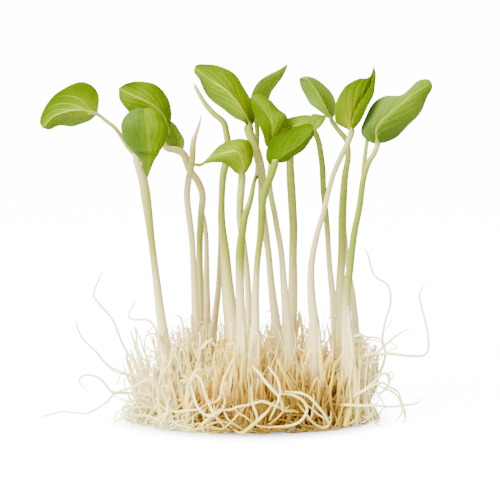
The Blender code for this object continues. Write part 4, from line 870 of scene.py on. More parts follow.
def buildLeafSkin(grain, veins):
    values = {"Metallic": 0.0, "Subsurface Weight": 0.15, "Subsurface Scale": 0.0010,
              "Subsurface Radius": (0.75, 1.0, 0.20), "Specular Tint": (0.85, 1.0, 0.45, 1.0)}
    made, tree, sockets = newSkin("leafSkin", values)
    place = objectPlace(tree)
    spot = splitPlace(tree, readAttribute(tree, "place")["Vector"])
    looks = splitPlace(tree, readAttribute(tree, "looks")["Vector"])
    tissue = useGroup(tree, grain, {"Vector": place, "Stretch": (1.0, 1.0, 1.0), "Scale": 330.0})
    broad = useGroup(tree, grain, {"Vector": place, "Stretch": (1.0, 1.0, 1.0), "Scale": 75.0})
    lines = useGroup(tree, veins, {"Across": spot["X"], "Along": spot["Y"], "Count": 5.0, "Slant": 0.72,
                                   "Width": 0.060})
    twigs = useGroup(tree, veins, {"Across": spot["X"], "Along": spot["Y"], "Count": 21.0, "Slant": 0.55,
                                   "Width": 0.16})
    out = maths(tree, "ABSOLUTE", spot["X"])
    uneven = product(tree, maths(tree, "SUBTRACT", broad["Mottle"], 0.5), 0.55)
    towardsRib = rescale(tree, out, 0.0, 1.0, 0.08, -0.10)
    nearBase = rescale(tree, spot["Y"], 0.05, 0.65, 1.0, 0.0)
    # painted light and shade: each half's tone is its own green made lighter or darker as the half faces
    # towards or away from the light, and a negative third look darkens the blade near its base with painted
    # shade
    paintedShadeNearBase = product(tree, maths(tree, "MINIMUM", looks["Z"], 0.0), nearBase)
    halfToneAndPaintedLight = total(tree, looks["X"], paintedShadeNearBase)
    tone = total(tree, halfToneAndPaintedLight, uneven, towardsRib)
    base = colourRamp(tree, tone, [
        (0.00, (0.026, 0.056, 0.0003)),
        (0.30, (0.057, 0.104, 0.0003)),
        (0.55, (0.088, 0.148, 0.0003)),
        (0.80, (0.126, 0.196, 0.0004)),
        (1.00, (0.165, 0.246, 0.0015)),
    ])
    brighter = product(tree, looks["Z"], rescale(tree, looks["X"], 0.05, 0.45, 0.1, 1.0))
    inner = product(tree, nearBase, rescale(tree, out, 0.2, 0.9, 1.0, 0.15))
    warm = product(tree, brighter, inner)
    yellowed = blendColours(tree, warm, base, (0.235, 0.280, 0.0003))
    # painted sheen: a greyish green, stronger towards the edge, stands in for the soft reflection on waxy
    # halves; the same share also raises the real specular level
    outer = product(tree, looks["Y"], rescale(tree, out, 0.15, 0.95, 0.45, 1.0))
    paintedSheenAndGloss = product(tree, outer, rescale(tree, broad["Mottle"], 0.35, 0.6, 0.6, 1.0))
    withPaintedSheen = blendColours(tree, paintedSheenAndGloss, yellowed, (0.125, 0.215, 0.035))
    under = product(tree, maths(tree, "SUBTRACT", 1.0, spot["Z"]), 0.55)
    backed = blendColours(tree, under, withPaintedSheen, (0.080, 0.135, 0.004))
    fine = product(tree, twigs["Veins"], 0.12)
    webbed = blendColours(tree, fine, backed, (0.190, 0.240, 0.002))
    shown = readAttribute(tree, "veinShow")["Fac"]
    sideShare = product(tree, lines["Veins"], shown, 0.95)
    veined = blendColours(tree, sideShare, webbed, (0.350, 0.430, 0.003))
    ribShare = product(tree, lines["Midrib"], shown, 0.7)
    ribbed = blendColours(tree, ribShare, veined, (0.390, 0.460, 0.020))
    cellShare = product(tree, tissue["Cells"], 0.10)
    celled = blendColours(tree, cellShare, ribbed, (0.030, 0.070, 0.0006))
    tree.links.new(celled, sockets["Base Color"])
    tree.links.new(rescale(tree, tissue["Mottle"], 0.25, 0.75, 0.34, 0.50), sockets["Roughness"])
    tree.links.new(rescale(tree, paintedSheenAndGloss, 0.0, 1.0, 0.0, 0.26), sockets["Specular IOR Level"])
    raised = total(tree, product(tree, lines["Veins"], -0.7), product(tree, tissue["Mottle"], 0.35))
    surfaceBump(tree, sockets, raised, 0.35, 0.00022)
    return made


# metres; the middle of the oval, by its X and its half size, where painted golden shade and brown shadow
# darken the roots towards the bottom
shadedMiddle = (0.0120, 0.026)


def buildRootSkin(grain):
    values = {"Metallic": 0.0, "Subsurface Weight": 0.60, "Subsurface Scale": 0.0022,
              "Subsurface Radius": (1.0, 0.74, 0.38), "Specular IOR Level": 0.25}
    made, tree, sockets = newSkin("rootSkin", values)
    place = objectPlace(tree)
    tissue = useGroup(tree, grain, {"Vector": place, "Stretch": (1.0, 1.0, 1.0), "Scale": 500.0})
    strand = readAttribute(tree, "strand")["Fac"]
    spot = splitPlace(tree, place)
    middleX, halfSize = shadedMiddle
    fromMiddle = maths(tree, "DIVIDE", maths(tree, "SUBTRACT", spot["X"], middleX), halfSize)
    fromFront = maths(tree, "DIVIDE", spot["Y"], halfSize)
    squared = total(tree, product(tree, fromMiddle, fromMiddle), product(tree, fromFront, fromFront))
    inside = rescale(tree, squared, 0.5, 1.5, 1.0, 0.0)
    # painted shade: inside the oval the roots turn golden and, lower down, brown, as the shade deepens among
    # the packed roots towards the floor
    goldenShadeLow = product(tree, inside, rescale(tree, spot["Z"], 0.010, 0.036, 1.0, 0.0))
    brownShadowLow = product(tree, inside, rescale(tree, spot["Z"], 0.003, 0.018, 1.0, 0.0))
    packed = total(tree, product(tree, goldenShadeLow, 0.47), product(tree, brownShadowLow, 0.86))
    mass = total(tree, product(tree, strand, 0.17), packed)
    # a brighter kind of root is paler in its own tone and kept mostly out of this painted shade
    kept = rescale(tree, readAttribute(tree, "bright")["Fac"], 0.0, 1.0, 1.0, 0.2)
    golden = product(tree, mass, kept)
    mottled = product(tree, maths(tree, "SUBTRACT", tissue["Mottle"], 0.5), 0.18)
    # pale cream to golden and deep brown; the golden and brown end is reached mostly through the painted
    # shade
    base = colourRamp(tree, total(tree, golden, mottled), [
        (0.00, (0.97, 0.82, 0.38)),
        (0.33, (0.82, 0.57, 0.090)),
        (0.62, (0.47, 0.28, 0.024)),
        (1.00, (0.23, 0.118, 0.010)),
    ])
    tree.links.new(base, sockets["Base Color"])
    tree.links.new(rescale(tree, tissue["Mottle"], 0.2, 0.8, 0.36, 0.56), sockets["Roughness"])
    surfaceBump(tree, sockets, tissue["Mottle"], 0.20, 0.00010)
    return made


def buildHeartSkin(grain):
    made, tree, sockets = newSkin("matHeartSkin", {"Metallic": 0.0})
    place = objectPlace(tree)
    packed = useGroup(tree, grain, {"Vector": place, "Stretch": (1.0, 1.0, 0.10), "Scale": 700.0})
    broad = useGroup(tree, grain, {"Vector": place, "Stretch": (1.0, 1.0, 1.0), "Scale": 120.0})
    # painted shade: the heart's dark golden brown, darker still towards the bottom, stands for the deep shade
    # among the roots
    height = splitPlace(tree, place)["Z"]
    grained = total(tree, product(tree, packed["Mottle"], 0.5), product(tree, broad["Mottle"], 0.2))
    grainAndPaintedShade = total(tree, grained, rescale(tree, height, 0.002, 0.013, 0.0, 0.55))
    base = colourRamp(tree, grainAndPaintedShade, [
        (0.30, (0.22, 0.12, 0.016)),
        (0.50, (0.42, 0.25, 0.034)),
        (0.72, (0.62, 0.42, 0.060)),
        (0.95, (0.88, 0.68, 0.17)),
    ])
    tree.links.new(base, sockets["Base Color"])
    tree.links.new(rescale(tree, packed["Mottle"], 0.2, 0.8, 0.6, 0.8), sockets["Roughness"])
    surfaceBump(tree, sockets, packed["Mottle"], 0.6, 0.0004)
    return made


# Stems, stalks and midribs

def ribTail(blade, radius, settings):
    # the start of a midrib, as the end of whatever carries the blade; a flat midrib gets a short one
    wide = blade.get("ribWide", settings["ribStart"])
    reach = pathLength(blade["rib"]) * settings["ribShare" if wide else "flatTail"]
    count = max(6, round(reach / settings["stationGap"]))
    points = smoothPath(blade["rib"], count, settings["tailStart"], reach)
    radii = []
    for index in range(count):
        share = index / (count - 1)
        thin = max(wide + (settings["ribEnd"] - wide) * share, settings["ribEnd"])
        radii.append(thin + (radius - thin) * max(0.0, 1 - share * (6 if wide else 1.6)) ** 2)
    return points, radii


def stemRadius(sprout, share, height, settings):
    # the thickness at this share of the stem, which swells towards its foot
    nearFoot = max(0.0, 1 - height / settings["footTop"])
    swollen = settings["girth"] * (1 + settings["footSwell"] * nearFoot)
    return readEvenly(sprout["radii"], share) * swollen


def growStem(number, sprout, tree, skin, settings):
    count = round(pathLength(sprout["stem"]) / settings["stationGap"]) + 1
    points = smoothPath(sprout["stem"], count)
    radii, green = [], []
    for index, point in enumerate(points):
        share = index / (count - 1)
        radii.append(stemRadius(sprout, share, point.z, settings))
        green.append(readEvenly(sprout["green"], share))
    blades = sprout.get("blades", [])
    carried = []
    for blade in blades:
        if (Vector(blade["rib"][0]) - points[-1]).length < settings["carriedWithin"]:
            carried.append(blade)
    if carried:
        tail, tailRadii = ribTail(carried[0], radii[-1], settings)
        points += tail
        radii += tailRadii
        green += [min(settings["greenest"], green[-1] + settings["tailGreener"])] * len(tail)
    else:
        # a rounded end
        ahead = (points[-1] - points[-2]).normalized()
        end = points[-1]
        for further, share in ((0.5, 0.85), (0.85, 0.5), (1.0, 0.1)):
            points.append(end + ahead * further * sprout["radii"][-1])
            radii.append(sprout["radii"][-1] * share)
            green.append(green[-1])
    route = {"points": points, "radii": radii, "strand": number / 20, "green": green}
    name = "sproutStem{:02d}".format(number)
    made = growTubes(name, tree, [route], settings, skin)
    nodes = ["sprout_{:02d}_stem".format(number)]
    if blades:
        nodes.append("sprout_{:02d}_leaves".format(number))
    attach(made, "root")
    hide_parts(*nodes)
    return carried[:1]


def growStalks(number, sprout, carried, tree, skin, settings):
    routes = []
    left = [blade for blade in sprout.get("blades", []) if blade not in carried]
    for stalk in sprout.get("stalks", []):
        count = round(pathLength(stalk) / settings["stationGap"]) + 2
        thinning = settings["stalkThinning"]
        radii = [settings["stalkBase"] - thinning * index / (count - 1) for index in range(count)]
        routes.append({"points": smoothPath(stalk, count), "radii": radii})
    for blade in left:
        if blade.get("ribWide", 1) == 0:
            continue
        points, radii = ribTail(blade, settings["ribStart"], settings)
        routes.append({"points": points, "radii": radii})
    for index, route in enumerate(routes):
        route["strand"] = index / 10 + number / 100
        route["green"] = [settings["stalkGreen"]] * len(route["points"])
    if not routes:
        return
    made = growTubes("sproutStalks{:02d}".format(number), tree, routes, settings, skin)
    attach(made, "root")
    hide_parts("sprout_{:02d}_leaves".format(number))


# Blades

def bladeRows(blade, settings):
    rows, half = settings["rows"], settings["halfColumns"]
    base, tip = blade["rib"][0], blade["rib"][-1]
    rib = smoothPath(blade["rib"], rows + 1)
    one = smoothPath([base] + blade["one"] + [tip], rows + 1)
    two = smoothPath([base] + blade["two"] + [tip], rows + 1)
    surface = []
    for index in range(1, rows):
        along = rib[index + 1] - rib[index - 1]
        halves = []
        for edge, turn in ((one, 1), (two, -1)):
            across = edge[index] - rib[index]
            lift = along.cross(across).normalized() * turn * across.length * settings["bulge"]
            line = []
            for column in range(half + 1):
                s = column / half
                line.append(rib[index] + across * s + lift * 4 * s * (1 - s))
            halves.append(line)
        surface.append(halves[0][:0:-1] + halves[1])
    return rib[0], surface, rib[-1]


def rowNormals(base, surface, tip):
    normals = []
    for index, row in enumerate(surface):
        ahead = surface[index + 1] if index + 1 < len(surface) else [tip] * len(row)
        behind = surface[index - 1] if index > 0 else [base] * len(row)
        line = []
        for column in range(len(row)):
            across = row[min(column + 1, len(row) - 1)] - row[max(column - 1, 0)]
            line.append((ahead[column] - behind[column]).cross(across).normalized())
        normals.append(line)
    return normals


def bladeRelief(s, along, settings, phase, fold, size):
    # how far the blade's middle sheet sinks at its rib and side veins, how its edge waves, and how
    # its outer part stands out beyond a fold across it
    out = abs(s)
    sunk = settings["grooveDepth"] * math.exp(-(out / settings["grooveWidth"]) ** 2)
    start = along - settings["veinSlant"] * out ** 0.9
    gap = abs(start * settings["veinCount"] - round(start * settings["veinCount"]))
    vein = math.exp(-(gap / settings["veinWidth"]) ** 2) * min(1.0, 6 * (1 - out)) * min(1.0, 8 * out)
    vein *= min(1.0, max(0.0, 1 + start * 12))
    wave = math.sin(2 * math.pi * settings["edgeWaves"] * along + phase + s) * out ** 3 * size
    step = min(1.0, max(0.0, (along - fold) / 0.04 + 0.5)) if fold else 0.0
    ledge = settings["foldHeight"] * step * max(0.0, 1 - (along - fold) * 2) * (1 - out ** 6)
    return settings["edgeWave"] * wave - sunk - settings["veinDepth"] * vein + ledge


def addBlade(shape, layers, blade, settings):
    base, surface, tip = bladeRows(blade, settings)
    normals = rowNormals(base, surface, tip)
    rows, columns = len(surface), len(surface[0])
    half = settings["halfColumns"]
    facing = Vector((0.0, 0.0, 0.0))
    for line in normals:
        facing += line[half // 2] + line[-half // 2]
    upper = 1.0 if facing.dot(Vector(settings["facing"])) > 0 else -1.0
    phase = base.x * 1.7 + base.z
    size = min(1.0, pathLength(blade["rib"]) / settings["fullLength"]) ** 3
    (oneTone, oneGrey), (twoTone, twoGrey), warm = blade["looks"]

    def addPoint(place, s, along, top):
        vertex = shape.verts.new((place + clumpShift) * mm)
        part = (s + 1) / 2
        part = part * part * (3 - 2 * part) if abs(s) < 0.25 else (1.0 if s > 0 else 0.0)
        vertex[layers[0]] = (s, along, top)
        # each half's tone holds its painted light and shade, and grey its share of painted sheen
        tone = twoTone + (oneTone - twoTone) * part
        grey = twoGrey + (oneGrey - twoGrey) * part
        vertex[layers[1]] = (tone, grey, warm)
        vertex[layers[2]] = blade.get("veins", 1.0)
        return vertex

    rims = []
    for side in (0.5, -0.5):
        top = 1.0 if side * upper > 0 else 0.0
        offset = settings["thickness"] * side
        middle = len(normals[0]) // 2
        baseVertex = addPoint(base + normals[0][middle] * offset, 0.0, 0.0, top)
        tipVertex = addPoint(tip + normals[-1][middle] * offset, 0.0, 1.0, top)
        grid = []
        for index in range(rows):
            along = (index + 1) / (rows + 1)
            line = []
            fade = min(1.0, 5 * along, 6 * (1 - along))
            for column in range(columns):
                s = (half - column) / half
                relief = bladeRelief(s, along, settings, phase, blade.get("fold", 0), size) * upper * fade
                normal = normals[index][column]
                line.append(addPoint(surface[index][column] + normal * (offset + relief), s, along, top))
            grid.append(line)
        for column in range(columns - 1):
            shape.faces.new((baseVertex, grid[0][column], grid[0][column + 1]))
            shape.faces.new((tipVertex, grid[-1][column + 1], grid[-1][column]))
        for lower, higher in zip(grid, grid[1:]):
            for column in range(columns - 1):
                shape.faces.new((lower[column], higher[column], higher[column + 1], lower[column + 1]))
        firstEdge = [line[0] for line in grid]
        lastEdge = [line[-1] for line in grid[::-1]]
        rims.append([baseVertex] + firstEdge + [tipVertex] + lastEdge)
    for index in range(len(rims[0])):
        following = (index + 1) % len(rims[0])
        shape.faces.new((rims[0][index], rims[0][following], rims[1][following], rims[1][index]))


def growBlades(number, sprout, skin, settings):
    shape = bmesh.new()
    layers = [shape.verts.layers.float_vector.new("place"), shape.verts.layers.float_vector.new("looks"),
              shape.verts.layers.float.new("veinShow")]
    for blade in sprout["blades"]:
        addBlade(shape, layers, blade, settings)
    bmesh.ops.recalc_face_normals(shape, faces=shape.faces[:])
    made = addShape("sproutBlades{:02d}".format(number), shape, skin)
    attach(made, "root")
    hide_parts("sprout_{:02d}_leaves".format(number))


# Roots

def rootRoute(draw, points, settings, free=False):
    # a root that isn't free stays over the ground that the mat covers
    scale = draw.uniform(*settings.get("swell", (0.75, 1.2)))
    last = len(points) - 1
    first, end = settings["thick"]
    radii = [(first + (end - first) * index / last) * scale for index in range(last + 1)]
    radii[-1] *= matSettings["tipShare"]
    lowest, widest = matSettings["lowest"], matSettings["widest"]
    kept = []
    for x, y, z in points:
        beside = x - matSettings["middle"]
        deepest = matSettings["backDeepest" if y > 0 else "deepest"]
        near = 1 if free else min(1.0, 1 / math.hypot(beside / widest, y / deepest))
        kept.append((matSettings["middle"] + beside * near, y * near, max(z, lowest)))
    return {"points": kept, "radii": radii, "strand": draw.random()}


def seenRoute(draw, radius, points):
    # a root that swells in its middle, on exactly the course that was seen
    last = len(points) - 1
    radii = []
    for index in range(last + 1):
        radii.append(radius * (0.45 + 0.43 * math.sin(math.pi * (0.1 + 0.8 * index / last))))
    return {"points": points, "radii": radii, "strand": draw.random()}


def standOut(point):
    # the seen roots in front bulge away from the mass, raised so that they look the same from ahead
    x, y, z = point
    reach = 2.8 * min(1.0, max(0.0, (z - 2) / 4)) * min(1.0, max(0.0, (-y - 17) / 4))
    return (x, y - reach, z + 0.12 * reach)


def onMat(angle, out, height):
    x = matSettings["middle"] + matSettings["halfWidth"] * out * math.cos(angle)
    y = matSettings["backDepth" if math.sin(angle) > 0 else "halfDepth"] * out * math.sin(angle)
    return (x, y, height)


def moundHeight(out):
    return matSettings["height"] * (1 - 0.25 * out ** 4)


def strayRoutes(draw, settings):
    return [rootRoute(draw, points, settings, free=True) for points in strayRoots]


def frontRoutes(draw, settings):
    return [seenRoute(draw, radius, [standOut(point) for point in points]) for radius, points in frontRoots]


def endRoutes(draw, settings):
    return [seenRoute(draw, radius, points) for radius, points in endRoots]


def riserRoutes(draw, settings):
    # roots that climb from the mat and lean in on each stem; those behind stay lower
    routes = []
    for sprout in sprouts:
        stem = smoothPath(sprout["stem"], 60)
        behind = sprout["stem"][0][1] > matSettings["behind"]
        for index in range(settings["perStem"]):
            angle = draw.uniform(0, 2 * math.pi)
            turn = draw.uniform(-0.8, 0.8)
            low, high, usual = settings["tops"]
            top = draw.triangular(low, high, usual) * (matSettings["behindShare"] if behind else 1.0)
            foot = draw.uniform(*settings["foot"])
            thick = stemRadius(sprout, min(1.0, top / stem[-1].z), top, stemSettings)
            beside = thick + draw.uniform(*settings["beside"])
            points = []
            for share, out in ((0.05, 1.0), (0.3, 0.66), (0.6, 0.26), (0.85, 0.05), (1.0, 0.0)):
                height = top * share
                centre = min(stem, key=lambda point: abs(point.z - height))
                away = beside + (foot - beside) * out
                way = angle + turn * share
                points.append((centre.x + away * math.cos(way), centre.y + away * math.sin(way), height))
            if draw.random() < settings["curled"]:
                x, y, z = points[-1]
                curl = draw.uniform(1.0, 4.5)
                z += draw.uniform(-2.5, 2.0)
                points.append((x + curl * math.cos(way), y + curl * math.sin(way), z))
            routes.append(rootRoute(draw, points, settings))
    return routes


# Uprights of both thicknesses: how far they scatter round the stems, how high they reach beside the
# mat, how they lean and bow, and how many have a curled end
uprightSettings = {
    "nearStem": 0.5,
    "scatterX": 3.6,
    "scatterY": 2.8,
    "setBack": 1.8,
    "furthestOut": 1.05,
    "tops": (0.35, 1.28, 0.82),
    "lowestTop": 4.0,
    "lean": 0.06,
    "edgeLean": 0.34,
    "leanScatter": 0.07,
    "bow": 0.05,
    "curled": 0.50,
    "curl": (0.8, 3.2),
    "curlRise": (-1.5, 1.2),
}


def uprightRoutes(draw, settings):
    # the many near-straight roots that stand up between the stems, some with a curled end
    routes = []
    shared = uprightSettings
    middle, halfWidth = matSettings["middle"], matSettings["halfWidth"]
    for index in range(settings["count"]):
        if draw.random() < shared["nearStem"]:
            sprout = draw.choice(sprouts)
            x = sprout["stem"][0][0] + draw.gauss(0, shared["scatterX"])
            y = sprout["stem"][0][1] + draw.gauss(shared["setBack"], shared["scatterY"])
        else:
            x, y, z = onMat(draw.uniform(0, 2 * math.pi), math.sqrt(draw.random()) * 1.02, 0.0)
        halfDepth = matSettings["backDepth" if y > 0 else "halfDepth"]
        out = math.hypot((x - middle) / halfWidth, y / halfDepth)
        if out > shared["furthestOut"]:
            x, y, out = middle + (x - middle) / out, y / out, 1.0
        top = max(shared["lowestTop"], moundHeight(out) * draw.triangular(*shared["tops"]))
        spread = shared["lean"] + shared["edgeLean"] * out ** 3
        lean = Vector((spread * (x - middle) / halfWidth + draw.gauss(0, shared["leanScatter"]),
                       spread * y / halfDepth + draw.gauss(0, shared["leanScatter"]), 0.0))
        bow = Vector((draw.gauss(0, shared["bow"]), draw.gauss(0, shared["bow"]), 0.0))
        points = []
        for share in (0.0, 0.25, 0.5, 0.75, 1.0):
            place = Vector((x, y, top * share)) + lean * top * share ** 1.5
            points.append(tuple(place + bow * top * math.sin(math.pi * share)))
        if draw.random() < shared["curled"]:
            x, y, z = points[-1]
            way = draw.uniform(0, 2 * math.pi)
            curl = draw.uniform(*shared["curl"])
            z += draw.uniform(*shared["curlRise"])
            points.append((x + curl * math.cos(way), y + curl * math.sin(way), z))
        routes.append(rootRoute(draw, points, settings))
    return routes


archCourse = [(0.0, 0.05), (0.04, 0.4), (0.2, 0.82), (0.5, 1.0), (0.85, 0.8), (1.05, 0.35), (1.0, 0.1)]


def archRoutes(draw, settings):
    # roots that rise between the stems, arch over and sink back
    routes = []
    for index in range(settings["count"]):
        angle = draw.uniform(0, 2 * math.pi)
        out = math.sqrt(draw.random()) * 0.95
        x, y, foot = onMat(angle, out, 0.0)
        top = moundHeight(out) * draw.uniform(*settings["tops"])
        way = draw.uniform(0, 2 * math.pi)
        span = draw.uniform(*settings["spans"])
        bow = draw.uniform(-settings["bow"], settings["bow"])
        points = []
        for run, share in archCourse:
            aside = bow * math.sin(math.pi * min(run, 1.0))
            points.append((x + span * run * math.cos(way) - aside * math.sin(way),
                           y + span * run * math.sin(way) * 0.7 + aside * math.cos(way), top * share))
        kept = points if draw.random() < 0.6 else points[:draw.choice((4, 5))]
        routes.append(rootRoute(draw, kept, settings))
    return routes


def edgeRoutes(draw, settings):
    # roots that run out over the mat's edge all round, each on its own bent copy of one course
    routes = []
    scatter = 0.06
    for index in range(settings["count"]):
        angle = draw.uniform(0, 2 * math.pi)
        swing = draw.choice((-1, 1)) * draw.uniform(*settings["turns"])
        high = draw.uniform(*settings["tops"])
        reach = draw.uniform(0.86, 1.06)
        points = []
        for out, turned, share in settings["course"]:
            jitter = draw.uniform(-scatter, scatter)
            points.append(onMat(angle + swing * turned + jitter, out * reach + jitter, high * share))
        kept = points if draw.random() < 0.65 else points[:-1]
        routes.append(rootRoute(draw, kept, settings))
    return routes


def splayedRoutes(draw, settings):
    # thin roots that come down the mat's sides and end loose on the floor, most at its two ends
    routes = []
    for index in range(settings["count"]):
        end = draw.choice((0.0, math.pi))
        if draw.random() < settings["atEnds"]:
            angle = end + draw.gauss(0.0, settings["spread"])
        else:
            angle = draw.uniform(0, 2 * math.pi)
        high = draw.uniform(*settings["tops"])
        turn = draw.uniform(-settings["turn"], settings["turn"])
        reach = draw.uniform(*settings["reach"])
        points = []
        for out, share in ((0.72, 1.0), (0.82, 0.72), (0.90, 0.36), (1.0, 0.10), (1.10, 0.02)):
            points.append(onMat(angle + turn * (out - 0.72) * 2.6, out * reach, high * share))
        routes.append(rootRoute(draw, points, settings))
    return routes


def wandererRoutes(draw, settings):
    # thin stray roots that leave the mat at its two ends and bend into open loops
    routes = []
    for index in range(settings["count"]):
        side = 1 if draw.random() < settings["rightShare"] else -1
        angle = (0.0 if side > 0 else math.pi) + draw.gauss(0.0, settings["spread"])
        place = Vector(onMat(angle, settings["start"], draw.uniform(*settings["tops"])))
        tilt = draw.uniform(*settings["tilt"])
        curl = draw.choice((-1, 1)) * draw.uniform(*settings["curl"])
        drift = draw.gauss(0, settings["drift"])
        points = [tuple(place)]
        for step in range(draw.choice(settings["steps"])):
            way = Vector((side * math.cos(tilt), drift, math.sin(tilt))).normalized()
            place = place + way * draw.uniform(*settings["stepLength"])
            if abs(place.x - matSettings["middle"]) > settings["furthest"]:
                break
            points.append(tuple(place))
            tilt += curl + draw.gauss(0, settings["drift"])
        if len(points) > 2:
            routes.append(rootRoute(draw, points, settings, free=True))
    return routes


def hairRoutes(draw, settings):
    # the finest roots, which fill the rest
    routes = []
    for index in range(settings["count"]):
        angle = draw.uniform(0, 2 * math.pi)
        out = math.sqrt(draw.random()) * 1.08
        x, y, z = onMat(angle, out, 0.0)
        start = draw.uniform(0.0, 0.75) * moundHeight(min(out, 1.0))
        length = draw.uniform(*settings["lengths"])
        way = Vector((draw.gauss(0, 0.5), draw.gauss(0, 0.5), draw.uniform(0.1, 1.0))).normalized()
        bend = Vector((draw.gauss(0, 0.4), draw.gauss(0, 0.4), draw.gauss(-0.1, 0.4)))
        points = []
        for step in range(5):
            run = step / 4
            place = Vector((x, y, start)) + (way * run + bend * run * run) * length
            points.append(tuple(place))
        routes.append(rootRoute(draw, points, settings))
    return routes


def growRoots(name, tree, routes, settings, skin):
    made = growTubes(name, tree, routes, settings, skin)
    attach(made, "root")
    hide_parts("root_mat")
    triangles = sum(len(face.vertices) - 2 for face in made.data.polygons)
    print(name, len(routes), "roots,", triangles, "triangles")
    return made


def growHeart(skin, settings):
    # the mat's middle, built in place of the imported one, which the roots hide
    shape = bmesh.new()
    rings = []
    sides, levels = settings["sides"], settings["levels"]
    for level in range(levels):
        share = level / (levels - 1)
        height = settings["height"] * math.sin(share * math.pi / 2)
        spread = math.cos(share * math.pi / 2) ** 0.6
        ring = []
        for side in range(sides):
            angle = 2 * math.pi * side / sides
            x = settings["halfWidth"] * spread * math.cos(angle)
            y = settings["halfDepth"] * spread * math.sin(angle)
            spot = Vector((x, y, height))
            lump = 1 + settings["lump"] * noise.noise(spot * settings["lumpScale"])
            lump += settings["grain"] * noise.noise(spot)
            above = height * lump if level else settings["underside"]
            ring.append(shape.verts.new((Vector((x * lump, y * lump, above)) + clumpShift) * mm))
        rings.append(ring)
    for lower, higher in zip(rings, rings[1:]):
        for side in range(sides):
            following = (side + 1) % sides
            shape.faces.new((lower[side], lower[following], higher[following], higher[side]))
    shape.faces.new(rings[0][::-1])
    bmesh.ops.pointmerge(shape, verts=rings[-1], merge_co=rings[-1][0].co)
    bmesh.ops.recalc_face_normals(shape, faces=shape.faces[:])
    made = addShape("matHeart", shape, skin)
    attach(made, "root")
    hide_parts("root_mat")


# Floor, light and camera

def buildFloor(settings):
    # a floor that sweeps up behind into a backdrop, both bright as a lit studio's are, with a painted contact
    # shadow where the glow fades round the mat's foot
    shape = bmesh.new()
    profile = [(settings["front"], 0.0)]
    for step in range(settings["steps"] + 1):
        turn = math.pi / 2 * step / settings["steps"]
        profile.append((settings["sweepStart"] + settings["sweepRun"] * math.sin(turn),
                        settings["sweepRise"] * (1 - math.cos(turn))))
    profile.append((settings["sweepStart"] + settings["sweepRun"], settings["top"]))
    rows = []
    for y, z in profile:
        rows.append([shape.verts.new((x, y, z)) for x in (-settings["halfWidth"], settings["halfWidth"])])
    for lower, higher in zip(rows, rows[1:]):
        shape.faces.new((lower[0], lower[1], higher[1], higher[0]))
    values = {"Roughness": 0.9, "Base Color": (0.60, 0.60, 0.60, 1.0), "Specular IOR Level": 0.1,
              "Emission Color": (1.0, 1.0, 1.0, 1.0)}
    made, tree, sockets = newSkin("floorSkin", values)
    seen = addNode(tree, "ShaderNodeLightPath").outputs["Is Camera Ray"]
    place = objectPlace(tree)
    spot = splitPlace(tree, place)
    shadowX, shadowWidth, shadowDepth = settings["shadow"]
    beside = maths(tree, "DIVIDE", maths(tree, "SUBTRACT", spot["X"], shadowX), shadowWidth)
    ahead = maths(tree, "DIVIDE", spot["Y"], shadowDepth)
    far = total(tree, product(tree, beside, beside), product(tree, ahead, ahead))
    # painted shadow: the camera-only glow falls to a small share in an oval under and round the mat's foot
    spread = rescale(tree, far, 0.40, 1.00, 0.03, 1.0)
    glowWithPaintedShadow = product(tree, seen, spread, settings["glow"])
    tree.links.new(glowWithPaintedShadow, sockets["Emission Strength"])
    floor = addShape("studioFloor", shape, made)


def aimAt(made, target):
    way = Vector(target) * mm - made.location
    made.rotation_euler = way.to_track_quat("-Z", "Y").to_euler()


def addArea(name, place, size, power, target):
    light = bpy.data.lights.new(name, "AREA")
    light.size = size
    light.energy = power
    made = addObject(name, light)
    made.location = Vector(place) * mm
    aimAt(made, target)


def buildLight(settings, target):
    world = bpy.data.worlds.new("studioWorld")
    world.use_nodes = True
    sky = world.node_tree.nodes["Background"].inputs
    sky["Color"].default_value = (1.0, 1.0, 1.0, 1.0)
    sky["Strength"].default_value = settings["worldStrength"]
    bpy.context.scene.world = world
    for part in ("key", "fill", "back"):
        addArea(part + "Light", settings[part + "Place"], settings[part + "Size"],
                settings[part + "Power"], target)


def buildCamera(settings):
    camera = bpy.data.cameras.new("photoCamera")
    camera.lens = settings["lens"]
    camera.sensor_width = settings["sensor"]
    camera.clip_start = 0.01
    camera.clip_end = 20.0
    made = addObject("photoCamera", camera)
    lift = math.radians(settings["elevation"])
    away = Vector((0.0, -math.cos(lift), math.sin(lift))) * settings["distance"]
    made.location = (Vector(settings["target"]) + away) * mm
    aimAt(made, settings["target"])
    bpy.context.scene.camera = made


buildCamera(cameraSettings)
buildLight(lightSettings, cameraSettings["target"])
buildFloor(floorSettings)
print("studio ready")

routeTubes = buildRouteTubes()
tissueGrain = buildTissueGrain()
leafVeins = buildLeafVeins()
stemSkin = buildStemSkin(tissueGrain)
leafSkin = buildLeafSkin(tissueGrain, leafVeins)
rootSkin = buildRootSkin(tissueGrain)
heartSkin = buildHeartSkin(tissueGrain)
print("skins ready")

for number, sprout in enumerate(sprouts, 1):
    carried = growStem(number, sprout, routeTubes, stemSkin, stemSettings)
    if "blades" in sprout:
        growStalks(number, sprout, carried, routeTubes, stemSkin, stemSettings)
        growBlades(number, sprout, leafSkin, bladeSettings)
print("sprouts grown")

# Courses over the mat's edge: how far out, how far round and how high a root is on its way
shoulderCourse = [(0.30, 0.0, 0.60), (0.52, 0.15, 0.95), (0.78, 0.35, 1.0), (1.0, 0.6, 0.62),
                  (1.10, 0.85, 0.25), (1.12, 1.0, 0.04), (1.0, 1.1, 0.05)]
footCourse = [(0.70, 0.0, 0.45), (0.96, 0.1, 1.0), (1.16, 0.35, 0.75), (1.22, 0.6, 0.25),
              (1.12, 0.85, 0.10), (0.86, 1.0, 0.25)]
noodleCourse = [(0.45, 0.0, 0.70), (0.75, 0.1, 1.0), (1.02, 0.3, 0.78), (1.12, 0.6, 0.42),
                (1.08, 0.9, 0.16), (0.85, 1.0, 0.12)]
